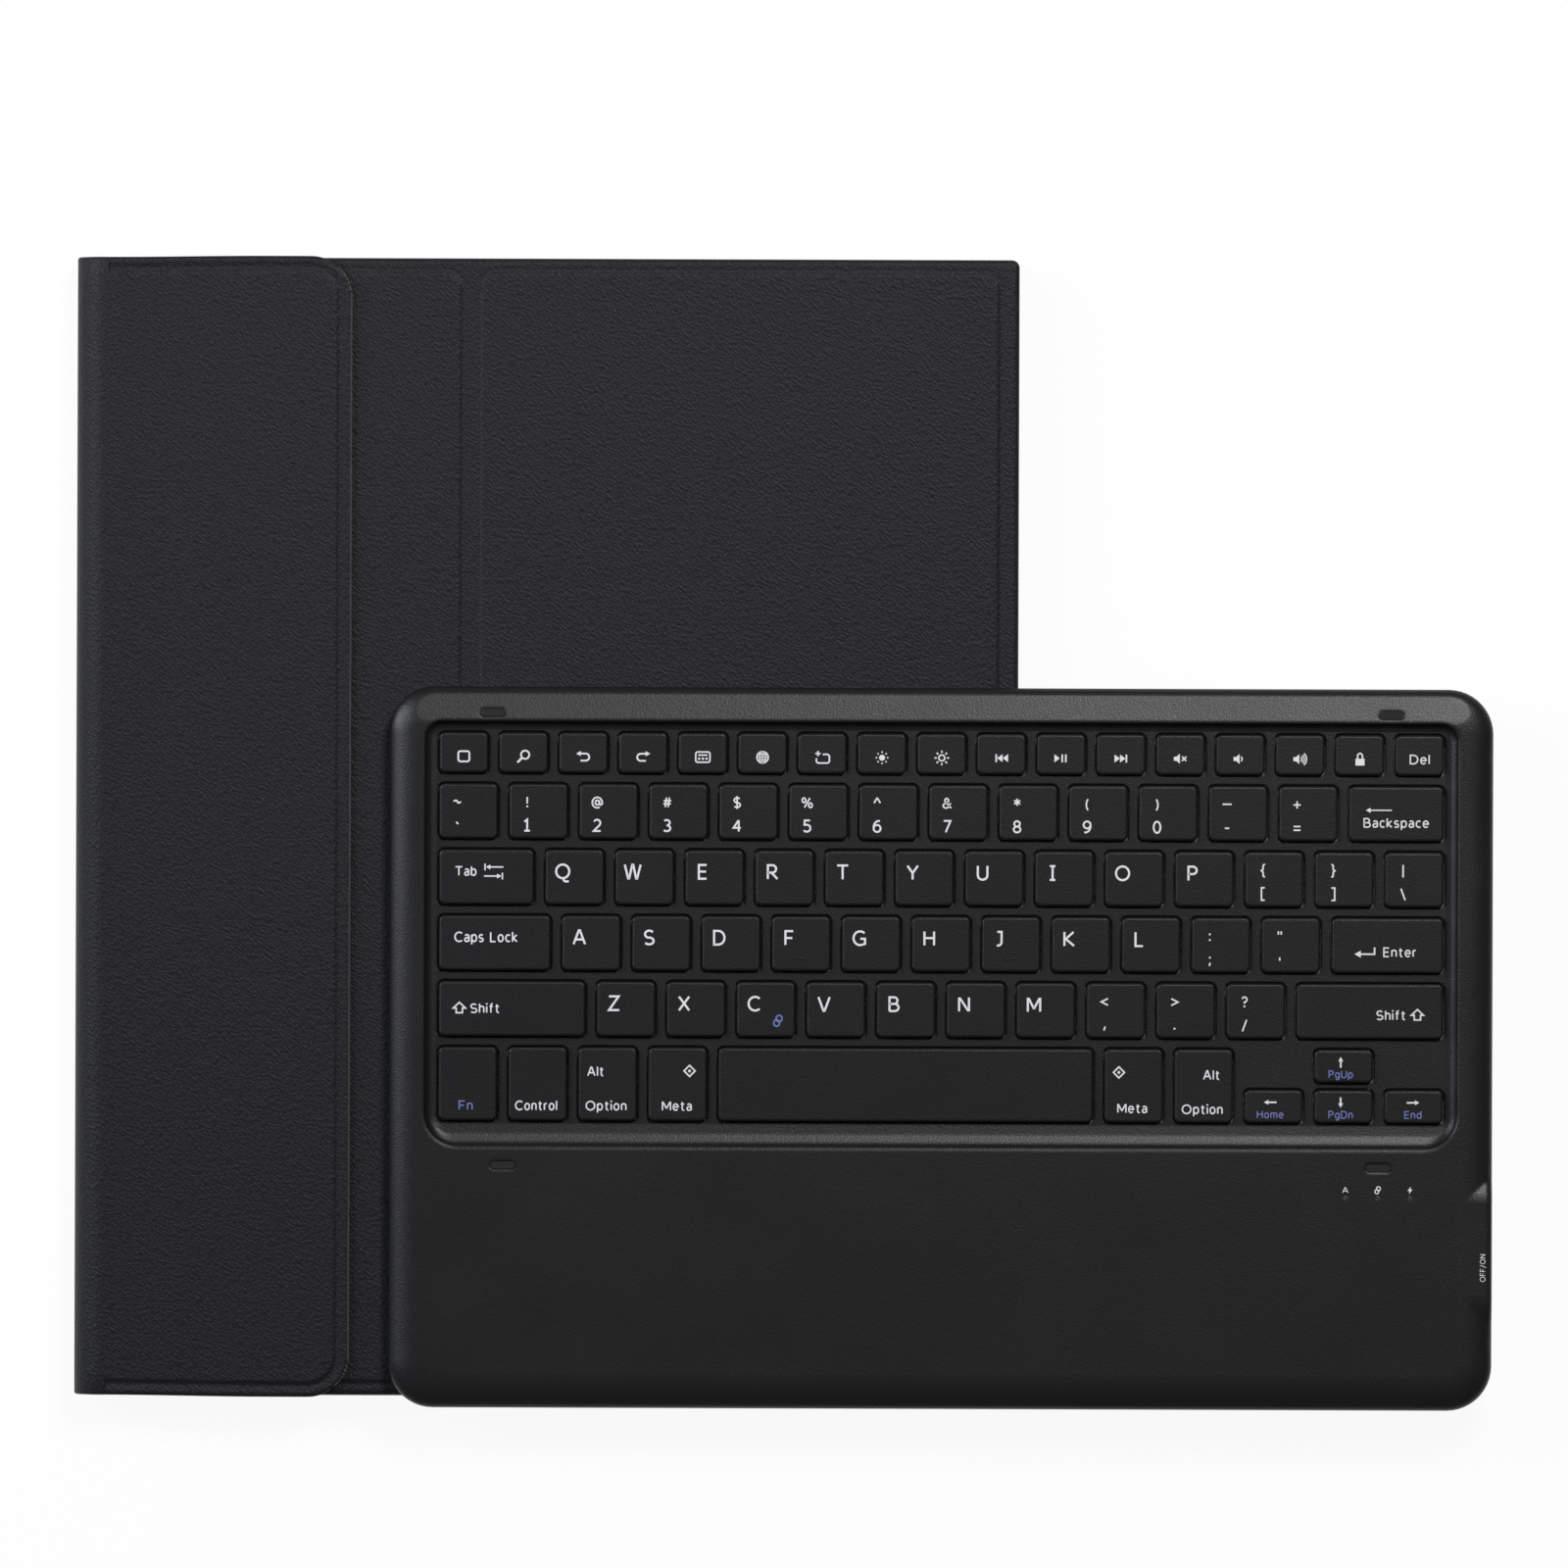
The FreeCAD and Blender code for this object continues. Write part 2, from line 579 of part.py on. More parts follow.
def switch_slot():
    c = SWITCH_CLEARANCE
    half_knob = SWITCH_KNOB_LENGTH / 2
    return block(wall_inside, case_right + BOSS_ROUND,
                 switch_y - half_knob - c, switch_y + half_knob + SWITCH_TRAVEL + c,
                 knob_low - c, knob_low + SWITCH_KNOB_HEIGHT + c)


def port_outer(grow):
    return block(wall_inside - PORT_DEPTH + CASE_WALL - grow, case_right,
                 port_y - PORT_LENGTH / 2 - grow, port_y + PORT_LENGTH / 2 + grow,
                 board_top - grow, board_top + PORT_HEIGHT + grow)


def palm_space():
    """Left, right, front and rear of the hollow under the palm rest."""
    return (case_left + CASE_WALL + CASE_CORNER_R / 2, wall_inside, case_front + CASE_ROLL, palm_rear - RIB)


def boss_hollow():
    """Left, right, front and rear of the hollow between the boss's two ramps."""
    return (wall_inside - CASE_ROLL, wall_inside,
            boss_rear - boss_length + BOSS_FRONT_RAMP, boss_rear - BOSS_REAR_RAMP)


def top_case():
    case = rolled_slab(case_left, case_right, case_front, case_rear, case_low, case_top,
                       CASE_CORNER_R, CASE_ROLL, CASE_ROLL_HEIGHT)
    case = case.fuse(side_boss())
    under_keys = FLANGE_LIP + KEY_CLEARANCE
    key_space = block(field_left - under_keys, field_right + under_keys, field_front - under_keys,
                      field_rear + under_keys, inside_low, web_low)
    x0, x1, y0, y1 = palm_space()
    palm = rounded_plate(x0, x1 - CASE_ROLL + CASE_WALL, y0, y1, inside_low, palm_roof, CASE_CORNER_R / 2)
    boss_space = block(*boss_hollow(), inside_low, case_top - BOSS_TOP_DROP - PALM_ROOF)
    base = rounded_plate(case_left + CASE_WALL, case_right - CASE_WALL, case_front + CASE_WALL,
                         case_rear - CASE_WALL, case_low, inside_low, CASE_CORNER_R - CASE_WALL)
    cuts = [rear_fall(), well_cutter(), key_space, palm, boss_space, base, switch_slot(),
            port_outer(PORT_CLEARANCE)]
    cuts += [rounded_plate(x0, x1, y0, y1, web_low, web_top, OPENING_CORNER_R)
             for name, x0, x1, y0, y1 in key_openings()]
    cuts += [Part.makeCylinder(SCREW_R, SCREW_LENGTH, Vector(x, y, inside_low)) for x, y in screw_places()]
    cuts += [Part.makeCylinder(LAMP_R, PALM_ROOF, Vector(x, y, palm_roof)) for x, y in lamp_places()]
    cuts += bumper_solids(0.0)
    case = case.cut(Part.makeCompound(cuts)).removeSplitter()
    export("keyboard_top_case", max(case.Solids, key=lambda solid: solid.Volume))


def bumper_solids(proud):
    """The bumpers, or with no height above the case the pockets that they sit in."""
    solids = []
    for x, y, seat in bumper_places():
        top = seat + proud if proud else case_top
        solids.append(pill(x, y, seat - BUMPER_SINK, top, BUMPER_LENGTH, BUMPER_WIDTH))
    return solids


def case_magnet_rear():
    return palm_space()[2] + 1.5 * CASE_MAGNET_WIDTH


# Keyboard bottom cover with its screws, feet and magnets
def bottom_cover():
    cover = rounded_plate(case_left + CASE_WALL, case_right - CASE_WALL, case_front + CASE_WALL,
                          case_rear - CASE_WALL, case_low, inside_low, CASE_CORNER_R - CASE_WALL)
    screws = []
    for x, y in screw_places():
        shank = Part.makeCylinder(SCREW_R, SCREW_LENGTH + BOTTOM_THICKNESS, Vector(x, y, case_low))
        head = Part.makeCylinder(SCREW_HEAD_R, SCREW_HEAD_HEIGHT, Vector(x, y, case_low))
        screws.append(shank.fuse(head).removeSplitter())
    feet = []
    x_reach = KEYBOARD_LENGTH / 2 - FOOT_INSET - FOOT_WIDTH / 2
    y_reach = KEYBOARD_DEPTH / 2 - FOOT_INSET - FOOT_LENGTH / 2
    for sx in (-1, 1):
        for sy in (-1, 1):
            x = case_centre_x + sx * x_reach
            y = KEYBOARD_CENTRE_Y + sy * y_reach
            feet.append(rounded_plate(x - FOOT_WIDTH / 2, x + FOOT_WIDTH / 2, y - FOOT_LENGTH / 2,
                                      y + FOOT_LENGTH / 2, case_low - FOOT_HEIGHT, case_low + FOOT_SINK,
                                      FOOT_WIDTH / 3))
    cover = cover.cut(Part.makeCompound(screws + feet))
    x0, x1 = palm_space()[:2]
    magnet_rear = case_magnet_rear()
    magnets = [block(x - CASE_MAGNET_LENGTH / 2, x + CASE_MAGNET_LENGTH / 2,
                     magnet_rear - CASE_MAGNET_WIDTH, magnet_rear,
                     inside_low, inside_low + CASE_MAGNET_THICKNESS)
               for x in (x0 + CASE_MAGNET_LENGTH, case_centre_x, x1 - CASE_ROLL - CASE_MAGNET_LENGTH)]
    export("keyboard_bottom_cover", cover)
    export("case_screws", screws)
    export("keyboard_feet", feet)
    export("keyboard_magnets", magnets)


# Layers under the keys
def key_layers():
    edges = (field_left, field_right, field_front, field_rear)
    export("key_support_plate", block(*edges, inside_low, plate_top))
    export("membrane_sheet", block(*edges, plate_top, membrane_top))
    height = flange_low - DOME_CLEARANCE - membrane_top
    centres = [Vector((x0 + x1) / 2, (y0 + y1) / 2, membrane_top) for name, x0, x1, y0, y1 in key_openings()]
    domes = [Part.makeCone(DOME_BASE_R, DOME_TOP_R, height, centre) for centre in centres]
    export("rubber_domes", domes)


# Electronics in the palm rest
def electronics():
    palm_back = palm_space()[3]
    inner = wall_inside - CASE_ROLL
    rear = palm_back - CASE_WALL
    front = case_magnet_rear() + MAGNET_CLEARANCE
    board = block(inner - BOARD_LENGTH, inner, front, rear, inside_low, board_top)
    board = board.fuse(block(*boss_hollow(), inside_low, board_top))
    battery = rounded_plate(case_centre_x - BATTERY_LENGTH / 2, case_centre_x + BATTERY_LENGTH / 2,
                            front, palm_back - BATTERY_REAR_GAP,
                            inside_low, inside_low + BATTERY_THICKNESS, CASE_WALL)
    body_right = wall_inside - SWITCH_CLEARANCE
    body_y = switch_y + SWITCH_TRAVEL / 2
    body = block(body_right - SWITCH_BODY_DEPTH, body_right, body_y - SWITCH_BODY_LENGTH / 2,
                 body_y + SWITCH_BODY_LENGTH / 2, board_top, board_top + SWITCH_BODY_HEIGHT)
    knob = block(body_right + SWITCH_CLEARANCE / 2, case_right - SWITCH_KNOB_SINK,
                 switch_y - SWITCH_KNOB_LENGTH / 2, switch_y + SWITCH_KNOB_LENGTH / 2,
                 knob_low, knob_low + SWITCH_KNOB_HEIGHT)
    shell = port_outer(0.0)
    inside = block(wall_inside - PORT_DEPTH + CASE_WALL + PORT_SHELL, case_right,
                   port_y - PORT_LENGTH / 2 + PORT_SHELL, port_y + PORT_LENGTH / 2 - PORT_SHELL,
                   board_top + PORT_SHELL, board_top + PORT_HEIGHT - PORT_SHELL)
    pipes = [Part.makeCylinder(LAMP_R, case_top - board_top, Vector(x, y, board_top))
             for x, y in lamp_places()]
    export("controller_board", board.removeSplitter())
    export("battery_cell", battery)
    export("power_switch_body", body)
    export("power_switch_knob", knob)
    export("charging_port", shell.cut(inside))
    export("indicator_lenses", pipes)
    export("screen_bumpers", bumper_solids(BUMPER_PROUD))


front_cover()
spine()
rear_cover()
tablet_tray()
flap()
keys()
top_case()
bottom_cover()
key_layers()
electronics()
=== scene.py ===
import json
import math
import bmesh
import bpy
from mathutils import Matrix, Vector

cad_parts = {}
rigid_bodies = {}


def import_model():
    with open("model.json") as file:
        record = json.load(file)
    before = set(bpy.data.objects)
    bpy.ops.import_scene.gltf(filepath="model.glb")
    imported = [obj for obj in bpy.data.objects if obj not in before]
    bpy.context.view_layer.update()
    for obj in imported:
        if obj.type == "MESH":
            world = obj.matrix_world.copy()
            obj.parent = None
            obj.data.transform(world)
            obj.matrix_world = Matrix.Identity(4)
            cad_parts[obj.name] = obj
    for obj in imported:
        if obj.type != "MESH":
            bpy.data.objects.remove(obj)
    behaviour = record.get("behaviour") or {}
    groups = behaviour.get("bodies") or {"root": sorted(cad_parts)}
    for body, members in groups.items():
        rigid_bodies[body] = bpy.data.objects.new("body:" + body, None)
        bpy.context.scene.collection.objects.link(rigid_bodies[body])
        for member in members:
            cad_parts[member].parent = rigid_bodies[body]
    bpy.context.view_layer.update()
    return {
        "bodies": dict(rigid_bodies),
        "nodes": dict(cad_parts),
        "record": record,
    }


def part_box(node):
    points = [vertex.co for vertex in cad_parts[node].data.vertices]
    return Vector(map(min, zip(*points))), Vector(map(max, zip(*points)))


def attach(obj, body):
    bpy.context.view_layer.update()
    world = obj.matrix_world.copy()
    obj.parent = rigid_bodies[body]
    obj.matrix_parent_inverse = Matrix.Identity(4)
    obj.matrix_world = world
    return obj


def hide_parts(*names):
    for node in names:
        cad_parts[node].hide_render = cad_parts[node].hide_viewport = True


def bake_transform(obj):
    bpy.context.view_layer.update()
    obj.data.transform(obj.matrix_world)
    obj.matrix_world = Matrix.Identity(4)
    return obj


# Looks of the tablet keyboard folio. Sizes are millimetres in the CAD frame,
# and metres in materials and on the stage.

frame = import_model()
nodes = frame["nodes"]
MM = 0.001


def cad(node):
    """Lowest and highest corner of a CAD node, in millimetres."""
    low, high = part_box(node)
    return low / MM, high / MM


# Levels and edges, read from the CAD nodes
front_board_low, front_board_high = cad("front_cover_board")
front_lining_low, front_lining_high = cad("front_cover_lining")
rear_low, rear_high = cad("rear_cover_skin")
strut_low, strut_high = cad("strut_board")
carrier_low, carrier_high = cad("carrier_board")
flap_low, flap_high = cad("flap_skin")
flap_board_low, flap_board_high = cad("flap_board")
spine_high = cad("spine_skin")[1]
spine_lining_low, spine_lining_high = cad("spine_lining")
case_high = cad("keyboard_top_case")[1]
spine_x = spine_high.x
spine_r = spine_high.z / 2
free_edge = rear_high.x
half_length = rear_high.y
case_top = case_high.z

# Leather: thickness and corners
LEATHER = 0.8
SKIN_GAP = 0.02
COVER_CORNER_R = 2.0
PANEL_CORNER_R = 4.0
FLAP_CORNER_R = 10.5
SQUARE_R = 0.2
skin_radii = (SQUARE_R, COVER_CORNER_R, COVER_CORNER_R, SQUARE_R)
panel_radii = (PANEL_CORNER_R,) * 4
cover_radii = (COVER_CORNER_R,) * 4
flap_radii = (COVER_CORNER_R, FLAP_CORNER_R, FLAP_CORNER_R, COVER_CORNER_R)

# Leather: pressed panels, each with a fine line round it
RELIEF = 0.3
SHOULDER = 1.0
PRESSED_LINE = 0.08
PRESSED_LINE_AT = 0.9
PRESSED_LINE_WIDTH = 0.5
BOARD_LAP = 0.3

# Leather: edges that roll over, but not at the spine, where the outline runs on
EDGE_ROLL = 1.6
EDGE_ROLL_HEIGHT = 1.0
SPINE_RUN = 20.0
SPINE_FADE = 2.5

# Flap: its cut edge, whose lighter grey band along the free edge is partly a painted highlight, with a ridge
# beside it, the line of its fold, and the length over which it widens
FLAP_ROLL = 0.7
FLAP_ROLL_HEIGHT = 0.5
FLAP_RIDGE = 0.12
FLAP_RIDGE_AT = 1.1
FLAP_RIDGE_WIDTH = 0.7
CUT_EDGE_HIGHLIGHT_BAND = 0.3
FOLD_LINE = 0.1
FOLD_LINE_AT = 0.4
FOLD_LINE_WIDTH = 0.7
FLAP_WIDENING = 40.0

# Bent strips and linings: how their edges are eased
END_EASE = 0.8
END_STEPS = (0.04, 0.1, 0.2, 0.35, 0.55, 0.8)
END_EASE_OUTSIDE, END_EASE_INSIDE = -1.0, 0.1
LINING_EASE = 0.4
LINING_INSET = 0.2

# Radius of the case's edges away from the keys, in metres
SOFT_EDGE = 0.0014


def key_field():
    """The keys' field, as its lowest and highest x and y in metres."""
    lows, highs = zip(*(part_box(name) for name in frame["bodies"] if name.endswith(("_key", "_keys"))))
    return [(min(low[axis] for low in lows), max(high[axis] for high in highs)) for axis in (0, 1)]


# Materials
def new_material(name, color, roughness, metallic=0.0, specular=0.5):
    material = bpy.data.materials.new(name)
    material.use_nodes = True
    shader = material.node_tree.nodes["Principled BSDF"]
    shader.inputs["Base Color"].default_value = (*color, 1)
    shader.inputs["Roughness"].default_value = roughness
    shader.inputs["Metallic"].default_value = metallic
    shader.inputs["Specular IOR Level"].default_value = specular
    return material


def add_node(material, kind, inputs, **settings):
    """A shader node with its settings and its inputs, which are values or other nodes' outputs."""
    made = material.node_tree.nodes.new(kind)
    for key, value in settings.items():
        setattr(made, key, value)
    for key, value in inputs.items():
        if isinstance(value, bpy.types.NodeSocket):
            material.node_tree.links.new(value, made.inputs[key])
        else:
            made.inputs[key].default_value = value
    return made


def math_node(material, operation, first, second=0.0):
    return add_node(material, "ShaderNodeMath", {0: first, 1: second}, operation=operation).outputs[0]


def plug(material, socket, source):
    shader = material.node_tree.nodes["Principled BSDF"]
    material.node_tree.links.new(source, shader.inputs[socket])


def place(material, scale=(1, 1, 1), turn=0.0):
    """Object coordinates, turned about the vertical and then stretched."""
    coordinates = add_node(material, "ShaderNodeTexCoord", {})
    turned = add_node(material, "ShaderNodeMapping",
                      {"Vector": coordinates.outputs["Object"], "Rotation": (0, 0, turn)})
    stretched = add_node(material, "ShaderNodeMapping", {"Vector": turned.outputs["Vector"], "Scale": scale})
    return stretched.outputs["Vector"]


def noise(material, vector, scale, detail=3.0, roughness=0.55):
    made = add_node(material, "ShaderNodeTexNoise",
                    {"Vector": vector, "Scale": scale, "Detail": detail, "Roughness": roughness})
    return made.outputs["Fac"]


def spread(material, value, low, high, start=0.3, stop=0.7):
    made = add_node(material, "ShaderNodeMapRange",
                    {"Value": value, "From Min": start, "From Max": stop, "To Min": low, "To Max": high})
    return made.outputs["Result"]


def tint(material, value, dark, light):
    """A colour between two: the colour sockets of a mix node are its inputs 6 and 7 and its output 2."""
    inputs = {"Factor": value, 6: (*dark, 1), 7: (*light, 1)}
    return add_node(material, "ShaderNodeMix", inputs, data_type="RGBA").outputs[2]


def bump(material, height, strength, distance, below=None):
    inputs = {"Height": height, "Strength": strength, "Distance": distance}
    if below is not None:
        inputs["Normal"] = below
    return add_node(material, "ShaderNodeBump", inputs).outputs["Normal"]


def leather_material(name, dark, light):
    """Pebbled synthetic leather: short cells drawn out along a diagonal, with finer wrinkles between them."""
    cell_scale, wrinkle_scale, wave_scale = 1000.0, 1900.0, 60.0
    cell_height, wrinkle_height, wave_height = 0.00016, 0.00005, 0.0005
    slimness, slant = 2.1, math.radians(45)
    smoothest, roughest = 0.46, 0.58
    material = new_material(name, light, 0.5, specular=0.22)
    vector = place(material, scale=(1.0, slimness, 1.0), turn=slant)
    voronoi = {"Vector": vector, "Scale": cell_scale, "Smoothness": 0.4, "Randomness": 1.0}
    cells = add_node(material, "ShaderNodeTexVoronoi", voronoi, feature="SMOOTH_F1").outputs["Distance"]
    wrinkles = noise(material, vector, wrinkle_scale, detail=4.0)
    waves = noise(material, place(material), wave_scale, detail=2.0)
    pebbles = bump(material, cells, 0.9, cell_height)
    fine = bump(material, wrinkles, 0.35, wrinkle_height, pebbles)
    plug(material, "Normal", bump(material, waves, 0.1, wave_height, fine))
    plug(material, "Base Color", tint(material, cells, light, dark))
    plug(material, "Roughness", spread(material, wrinkles, smoothest, roughest))
    return material


def outer_radius(material, box, inner, outer):
    """An edge radius that is larger outside a box, seen from above, than inside it."""
    coordinates = add_node(material, "ShaderNodeTexCoord", {})
    parts = add_node(material, "ShaderNodeSeparateXYZ", {0: coordinates.outputs["Object"]})
    beyond = []
    for axis, (low, high) in enumerate(box):
        shifted = math_node(material, "SUBTRACT", parts.outputs[axis], (low + high) / 2)
        away = math_node(material, "ABSOLUTE", shifted)
        beyond.append(math_node(material, "SUBTRACT", away, (high - low) / 2))
    return spread(material, math_node(material, "MAXIMUM", *beyond), inner, outer, 0.0, outer)


def plastic_material(name, dark, light, grain, depth, rough, edge=0.0, specular=0.35, crisp_box=None):
    """Moulded plastic with a fine spark-eroded grain, and edges that are eased by a small radius. Outside the
    crisp box, if there is one, the edges are softer."""
    cloud_scale, smoother, rougher = 35.0, 0.015, 0.02
    material = new_material(name, light, rough, specular=specular)
    vector = place(material)
    speckle = noise(material, vector, grain, detail=2.0, roughness=0.6)
    cloud = noise(material, vector, cloud_scale, detail=2.0)
    eased = None
    if edge:
        radius = outer_radius(material, crisp_box, edge, SOFT_EDGE) if crisp_box else edge
        eased = add_node(material, "ShaderNodeBevel", {"Radius": radius}, samples=8).outputs["Normal"]
    plug(material, "Normal", bump(material, speckle, 0.5, depth, eased))
    plug(material, "Base Color", tint(material, speckle, dark, light))
    plug(material, "Roughness", spread(material, cloud, rough - smoother, rough + rougher))
    return material


def microfibre_material(name):
    dark, light = (0.022, 0.022, 0.025), (0.042, 0.042, 0.046)
    nap_scale, nap_height, brush_scale, brush_length, brush_turn = 3200.0, 0.00012, 90.0, 0.35, 0.4
    material = new_material(name, (0.03, 0.03, 0.033), 0.9, specular=0.2)
    shader = material.node_tree.nodes["Principled BSDF"]
    shader.inputs["Sheen Weight"].default_value = 0.35
    shader.inputs["Sheen Roughness"].default_value = 0.5
    nap = noise(material, place(material), nap_scale, detail=3.0)
    stroked = place(material, scale=(1.0, brush_length, 1.0), turn=brush_turn)
    brushed = noise(material, stroked, brush_scale, detail=3.0)
    plug(material, "Normal", bump(material, nap, 0.6, nap_height))
    plug(material, "Base Color", tint(material, brushed, dark, light))
    return material


def metal_material(name, color, rough, stretch):
    line_scale, line_height, smoother, rougher = 1500.0, 0.00002, 0.08, 0.1
    material = new_material(name, color, rough, metallic=1.0)
    lines = noise(material, place(material, scale=(1.0, stretch, 1.0)), line_scale, detail=3.0)
    plug(material, "Roughness", spread(material, lines, rough - smoother, rough + rougher))
    plug(material, "Normal", bump(material, lines, 0.15, line_height))
    return material


def fibre_material(name, dark, light):
    """Pressed board, film and the leather's cut edge, whose lighter grey is partly a painted highlight: a
    base colour broken by a fine fibre.
    """
    fibre_scale, fibre_length, fibre_height = 900.0, 0.3, 0.00005
    material = new_material(name, light, 0.8, specular=0.3)
    fibres = noise(material, place(material, scale=(1.0, fibre_length, 1.0)), fibre_scale, detail=4.0)
    plug(material, "Base Color", tint(material, fibres, dark, light))
    plug(material, "Normal", bump(material, fibres, 0.3, fibre_height))
    return material


def print_material(name, color):
    """Printed ink that is a little thinner in places."""
    patch_scale, thinnest = 2500.0, 0.88
    material = new_material(name, color, 0.6, specular=0.3)
    patchy = noise(material, place(material), patch_scale, detail=2.0)
    plug(material, "Base Color", tint(material, patchy, [c * thinnest for c in color], color))
    return material


leather = leather_material("leather", (0.0055, 0.0055, 0.0075), (0.0096, 0.0096, 0.013))
# A lighter grey for the leather's cut edge: partly the raw edge's own colour, partly a painted highlight
# along the flap's free edge.
cut_edge_and_highlight = fibre_material("leather_cut_edge_and_highlight", (0.05, 0.05, 0.052), (0.11, 0.11, 0.115))
lining = microfibre_material("microfibre")
tray_plastic = plastic_material("tray_plastic", (0.012, 0.012, 0.013), (0.02, 0.02, 0.022),
                                grain=2600.0, depth=0.00003, rough=0.5)
case_plastic = plastic_material("case_plastic", (0.006, 0.006, 0.0066), (0.011, 0.011, 0.012),
                                grain=2200.0, depth=0.00012, rough=0.36, edge=0.0004, crisp_box=key_field())
key_plastic = plastic_material("key_plastic", (0.006, 0.006, 0.0068), (0.011, 0.011, 0.0125),
                               grain=2200.0, depth=0.00012, rough=0.4, edge=0.0003, specular=0.25)
rubber = plastic_material("rubber", (0.005, 0.005, 0.005), (0.01, 0.01, 0.01),
                          grain=1800.0, depth=0.00003, rough=0.7)
steel = metal_material("steel", (0.5, 0.5, 0.52), rough=0.35, stretch=0.05)
plating = metal_material("plating", (0.62, 0.62, 0.64), rough=0.22, stretch=1.0)
greyboard = fibre_material("greyboard", (0.26, 0.24, 0.21), (0.4, 0.38, 0.35))
film = fibre_material("film", (0.5, 0.52, 0.5), (0.66, 0.68, 0.66))
solder_mask = fibre_material("solder_mask", (0.012, 0.09, 0.035), (0.02, 0.13, 0.055))
foil = metal_material("foil", (0.6, 0.6, 0.6), rough=0.42, stretch=0.4)
lens = plastic_material("lens", (0.05, 0.05, 0.05), (0.08, 0.08, 0.08),
                        grain=1200.0, depth=0.00001, rough=0.25)
white_print = print_material("white_print", (0.78, 0.78, 0.8))
blue_print = print_material("blue_print", (0.16, 0.18, 0.44))

by_slot = {
    "leather": leather, "lining": lining, "greyboard": greyboard, "magnet": plating, "steel": steel,
    "tray_plastic": tray_plastic, "case_plastic": case_plastic, "key_plastic": key_plastic,
    "knob_plastic": case_plastic, "rubber": rubber, "membrane": film, "circuit_board": solder_mask,
    "battery_foil": foil, "port_metal": plating, "lens": lens,
}
for subpart in frame["record"]["subparts"]:
    made = nodes[subpart["node"]]
    made.data.materials.clear()
    made.data.materials.append(by_slot[subpart["material_slot"]])


# Mesh helpers
def make_piece(name, points, faces, materials, face_materials=None, sharp_degrees=35.0):
    mesh = bpy.data.meshes.new(name)
    mesh.from_pydata([(x * MM, y * MM, z * MM) for x, y, z in points], [], faces)
    for material in materials:
        mesh.materials.append(material)
    if face_materials:
        mesh.polygons.foreach_set("material_index", face_materials)
    mesh.polygons.foreach_set("use_smooth", [True] * len(mesh.polygons))
    mesh.set_sharp_from_angle(angle=math.radians(sharp_degrees))
    mesh.update()
    piece = bpy.data.objects.new(name, mesh)
    bpy.context.scene.collection.objects.link(piece)
    return piece


def outside(x, y, box, radii):
    """Distance from a point to a rounded rectangle, negative inside. Radii go round from the rear left."""
    x0, x1, y0, y1 = box
    rear = y > (y0 + y1) / 2
    right = x > (x0 + x1) / 2
    radius = radii[(1 if right else 0) if rear else (2 if right else 3)]
    dx = abs(x - (x0 + x1) / 2) - (x1 - x0) / 2 + radius
    dy = abs(y - (y0 + y1) / 2) - (y1 - y0) / 2 + radius
    return math.hypot(max(dx, 0), max(dy, 0)) + min(max(dx, dy), 0) - radius


def grid_lines(start, stop, features, fine, reach, coarse=9.0, growth=0.35):
    """Grid places from start to stop, close together near the features and wide apart between them."""
    places = [start]
    while places[-1] < stop:
        near = min(abs(places[-1] - feature) for feature in features)
        step = min(coarse, fine + growth * max(0.0, near - reach))
        places.append(places[-1] + step)
    if stop - places[-2] < fine / 2:
        places.pop()
    places[-1] = stop
    return places


def soft_step(value):
    t = min(1.0, max(0.0, value))
    return t * t * (3 - 2 * t)


def relief_sheet(name, box, radii, top, bottom, features, materials, fine=0.36, reach=4.0):
    """A closed sheet over a rounded rectangle, with a height function for each face. The rim takes the second
    material."""
    xs = grid_lines(box[0], box[1], features[0], fine, reach)
    ys = grid_lines(box[2], box[3], features[1], fine, reach)
    kept = set()
    for i in range(len(xs) - 1):
        for j in range(len(ys) - 1):
            if outside((xs[i] + xs[i + 1]) / 2, (ys[j] + ys[j + 1]) / 2, box, radii) < 0:
                kept.add((i, j))
    index = {}
    points = []
    probe, rounds = 0.01, 3
    corners = ((0, 0), (1, 0), (1, 1), (0, 1))
    for i, j in sorted(kept):
        for di, dj in corners:
            key = (i + di, j + dj)
            if key in index:
                continue
            x, y = xs[key[0]], ys[key[1]]
            around = [(key[0] - a, key[1] - b) in kept for a in (0, 1) for b in (0, 1)]
            if not all(around):
                for _ in range(rounds):
                    gap = outside(x, y, box, radii)
                    rise_x = outside(x + probe, y, box, radii) - outside(x - probe, y, box, radii)
                    rise_y = outside(x, y + probe, box, radii) - outside(x, y - probe, box, radii)
                    x -= gap * rise_x / (2 * probe)
                    y -= gap * rise_y / (2 * probe)
            index[key] = len(points)
            points.append((x, y))
    count = len(points)
    solid = [(x, y, top(x, y)) for x, y in points] + [(x, y, bottom(x, y)) for x, y in points]
    faces = []
    face_materials = []
    beside = ((0, -1), (1, 0), (0, 1), (-1, 0))
    for i, j in sorted(kept):
        loop = [index[(i + di, j + dj)] for di, dj in corners]
        faces.append(loop)
        faces.append([count + k for k in reversed(loop)])
        face_materials += [0, 0]
        for side, (di, dj) in enumerate(beside):
            if (i + di, j + dj) not in kept:
                a, b = loop[side], loop[(side + 1) % 4]
                faces.append([count + a, count + b, b, a])
                face_materials.append(len(materials) - 1)
    return make_piece(name, solid, faces, materials, face_materials)


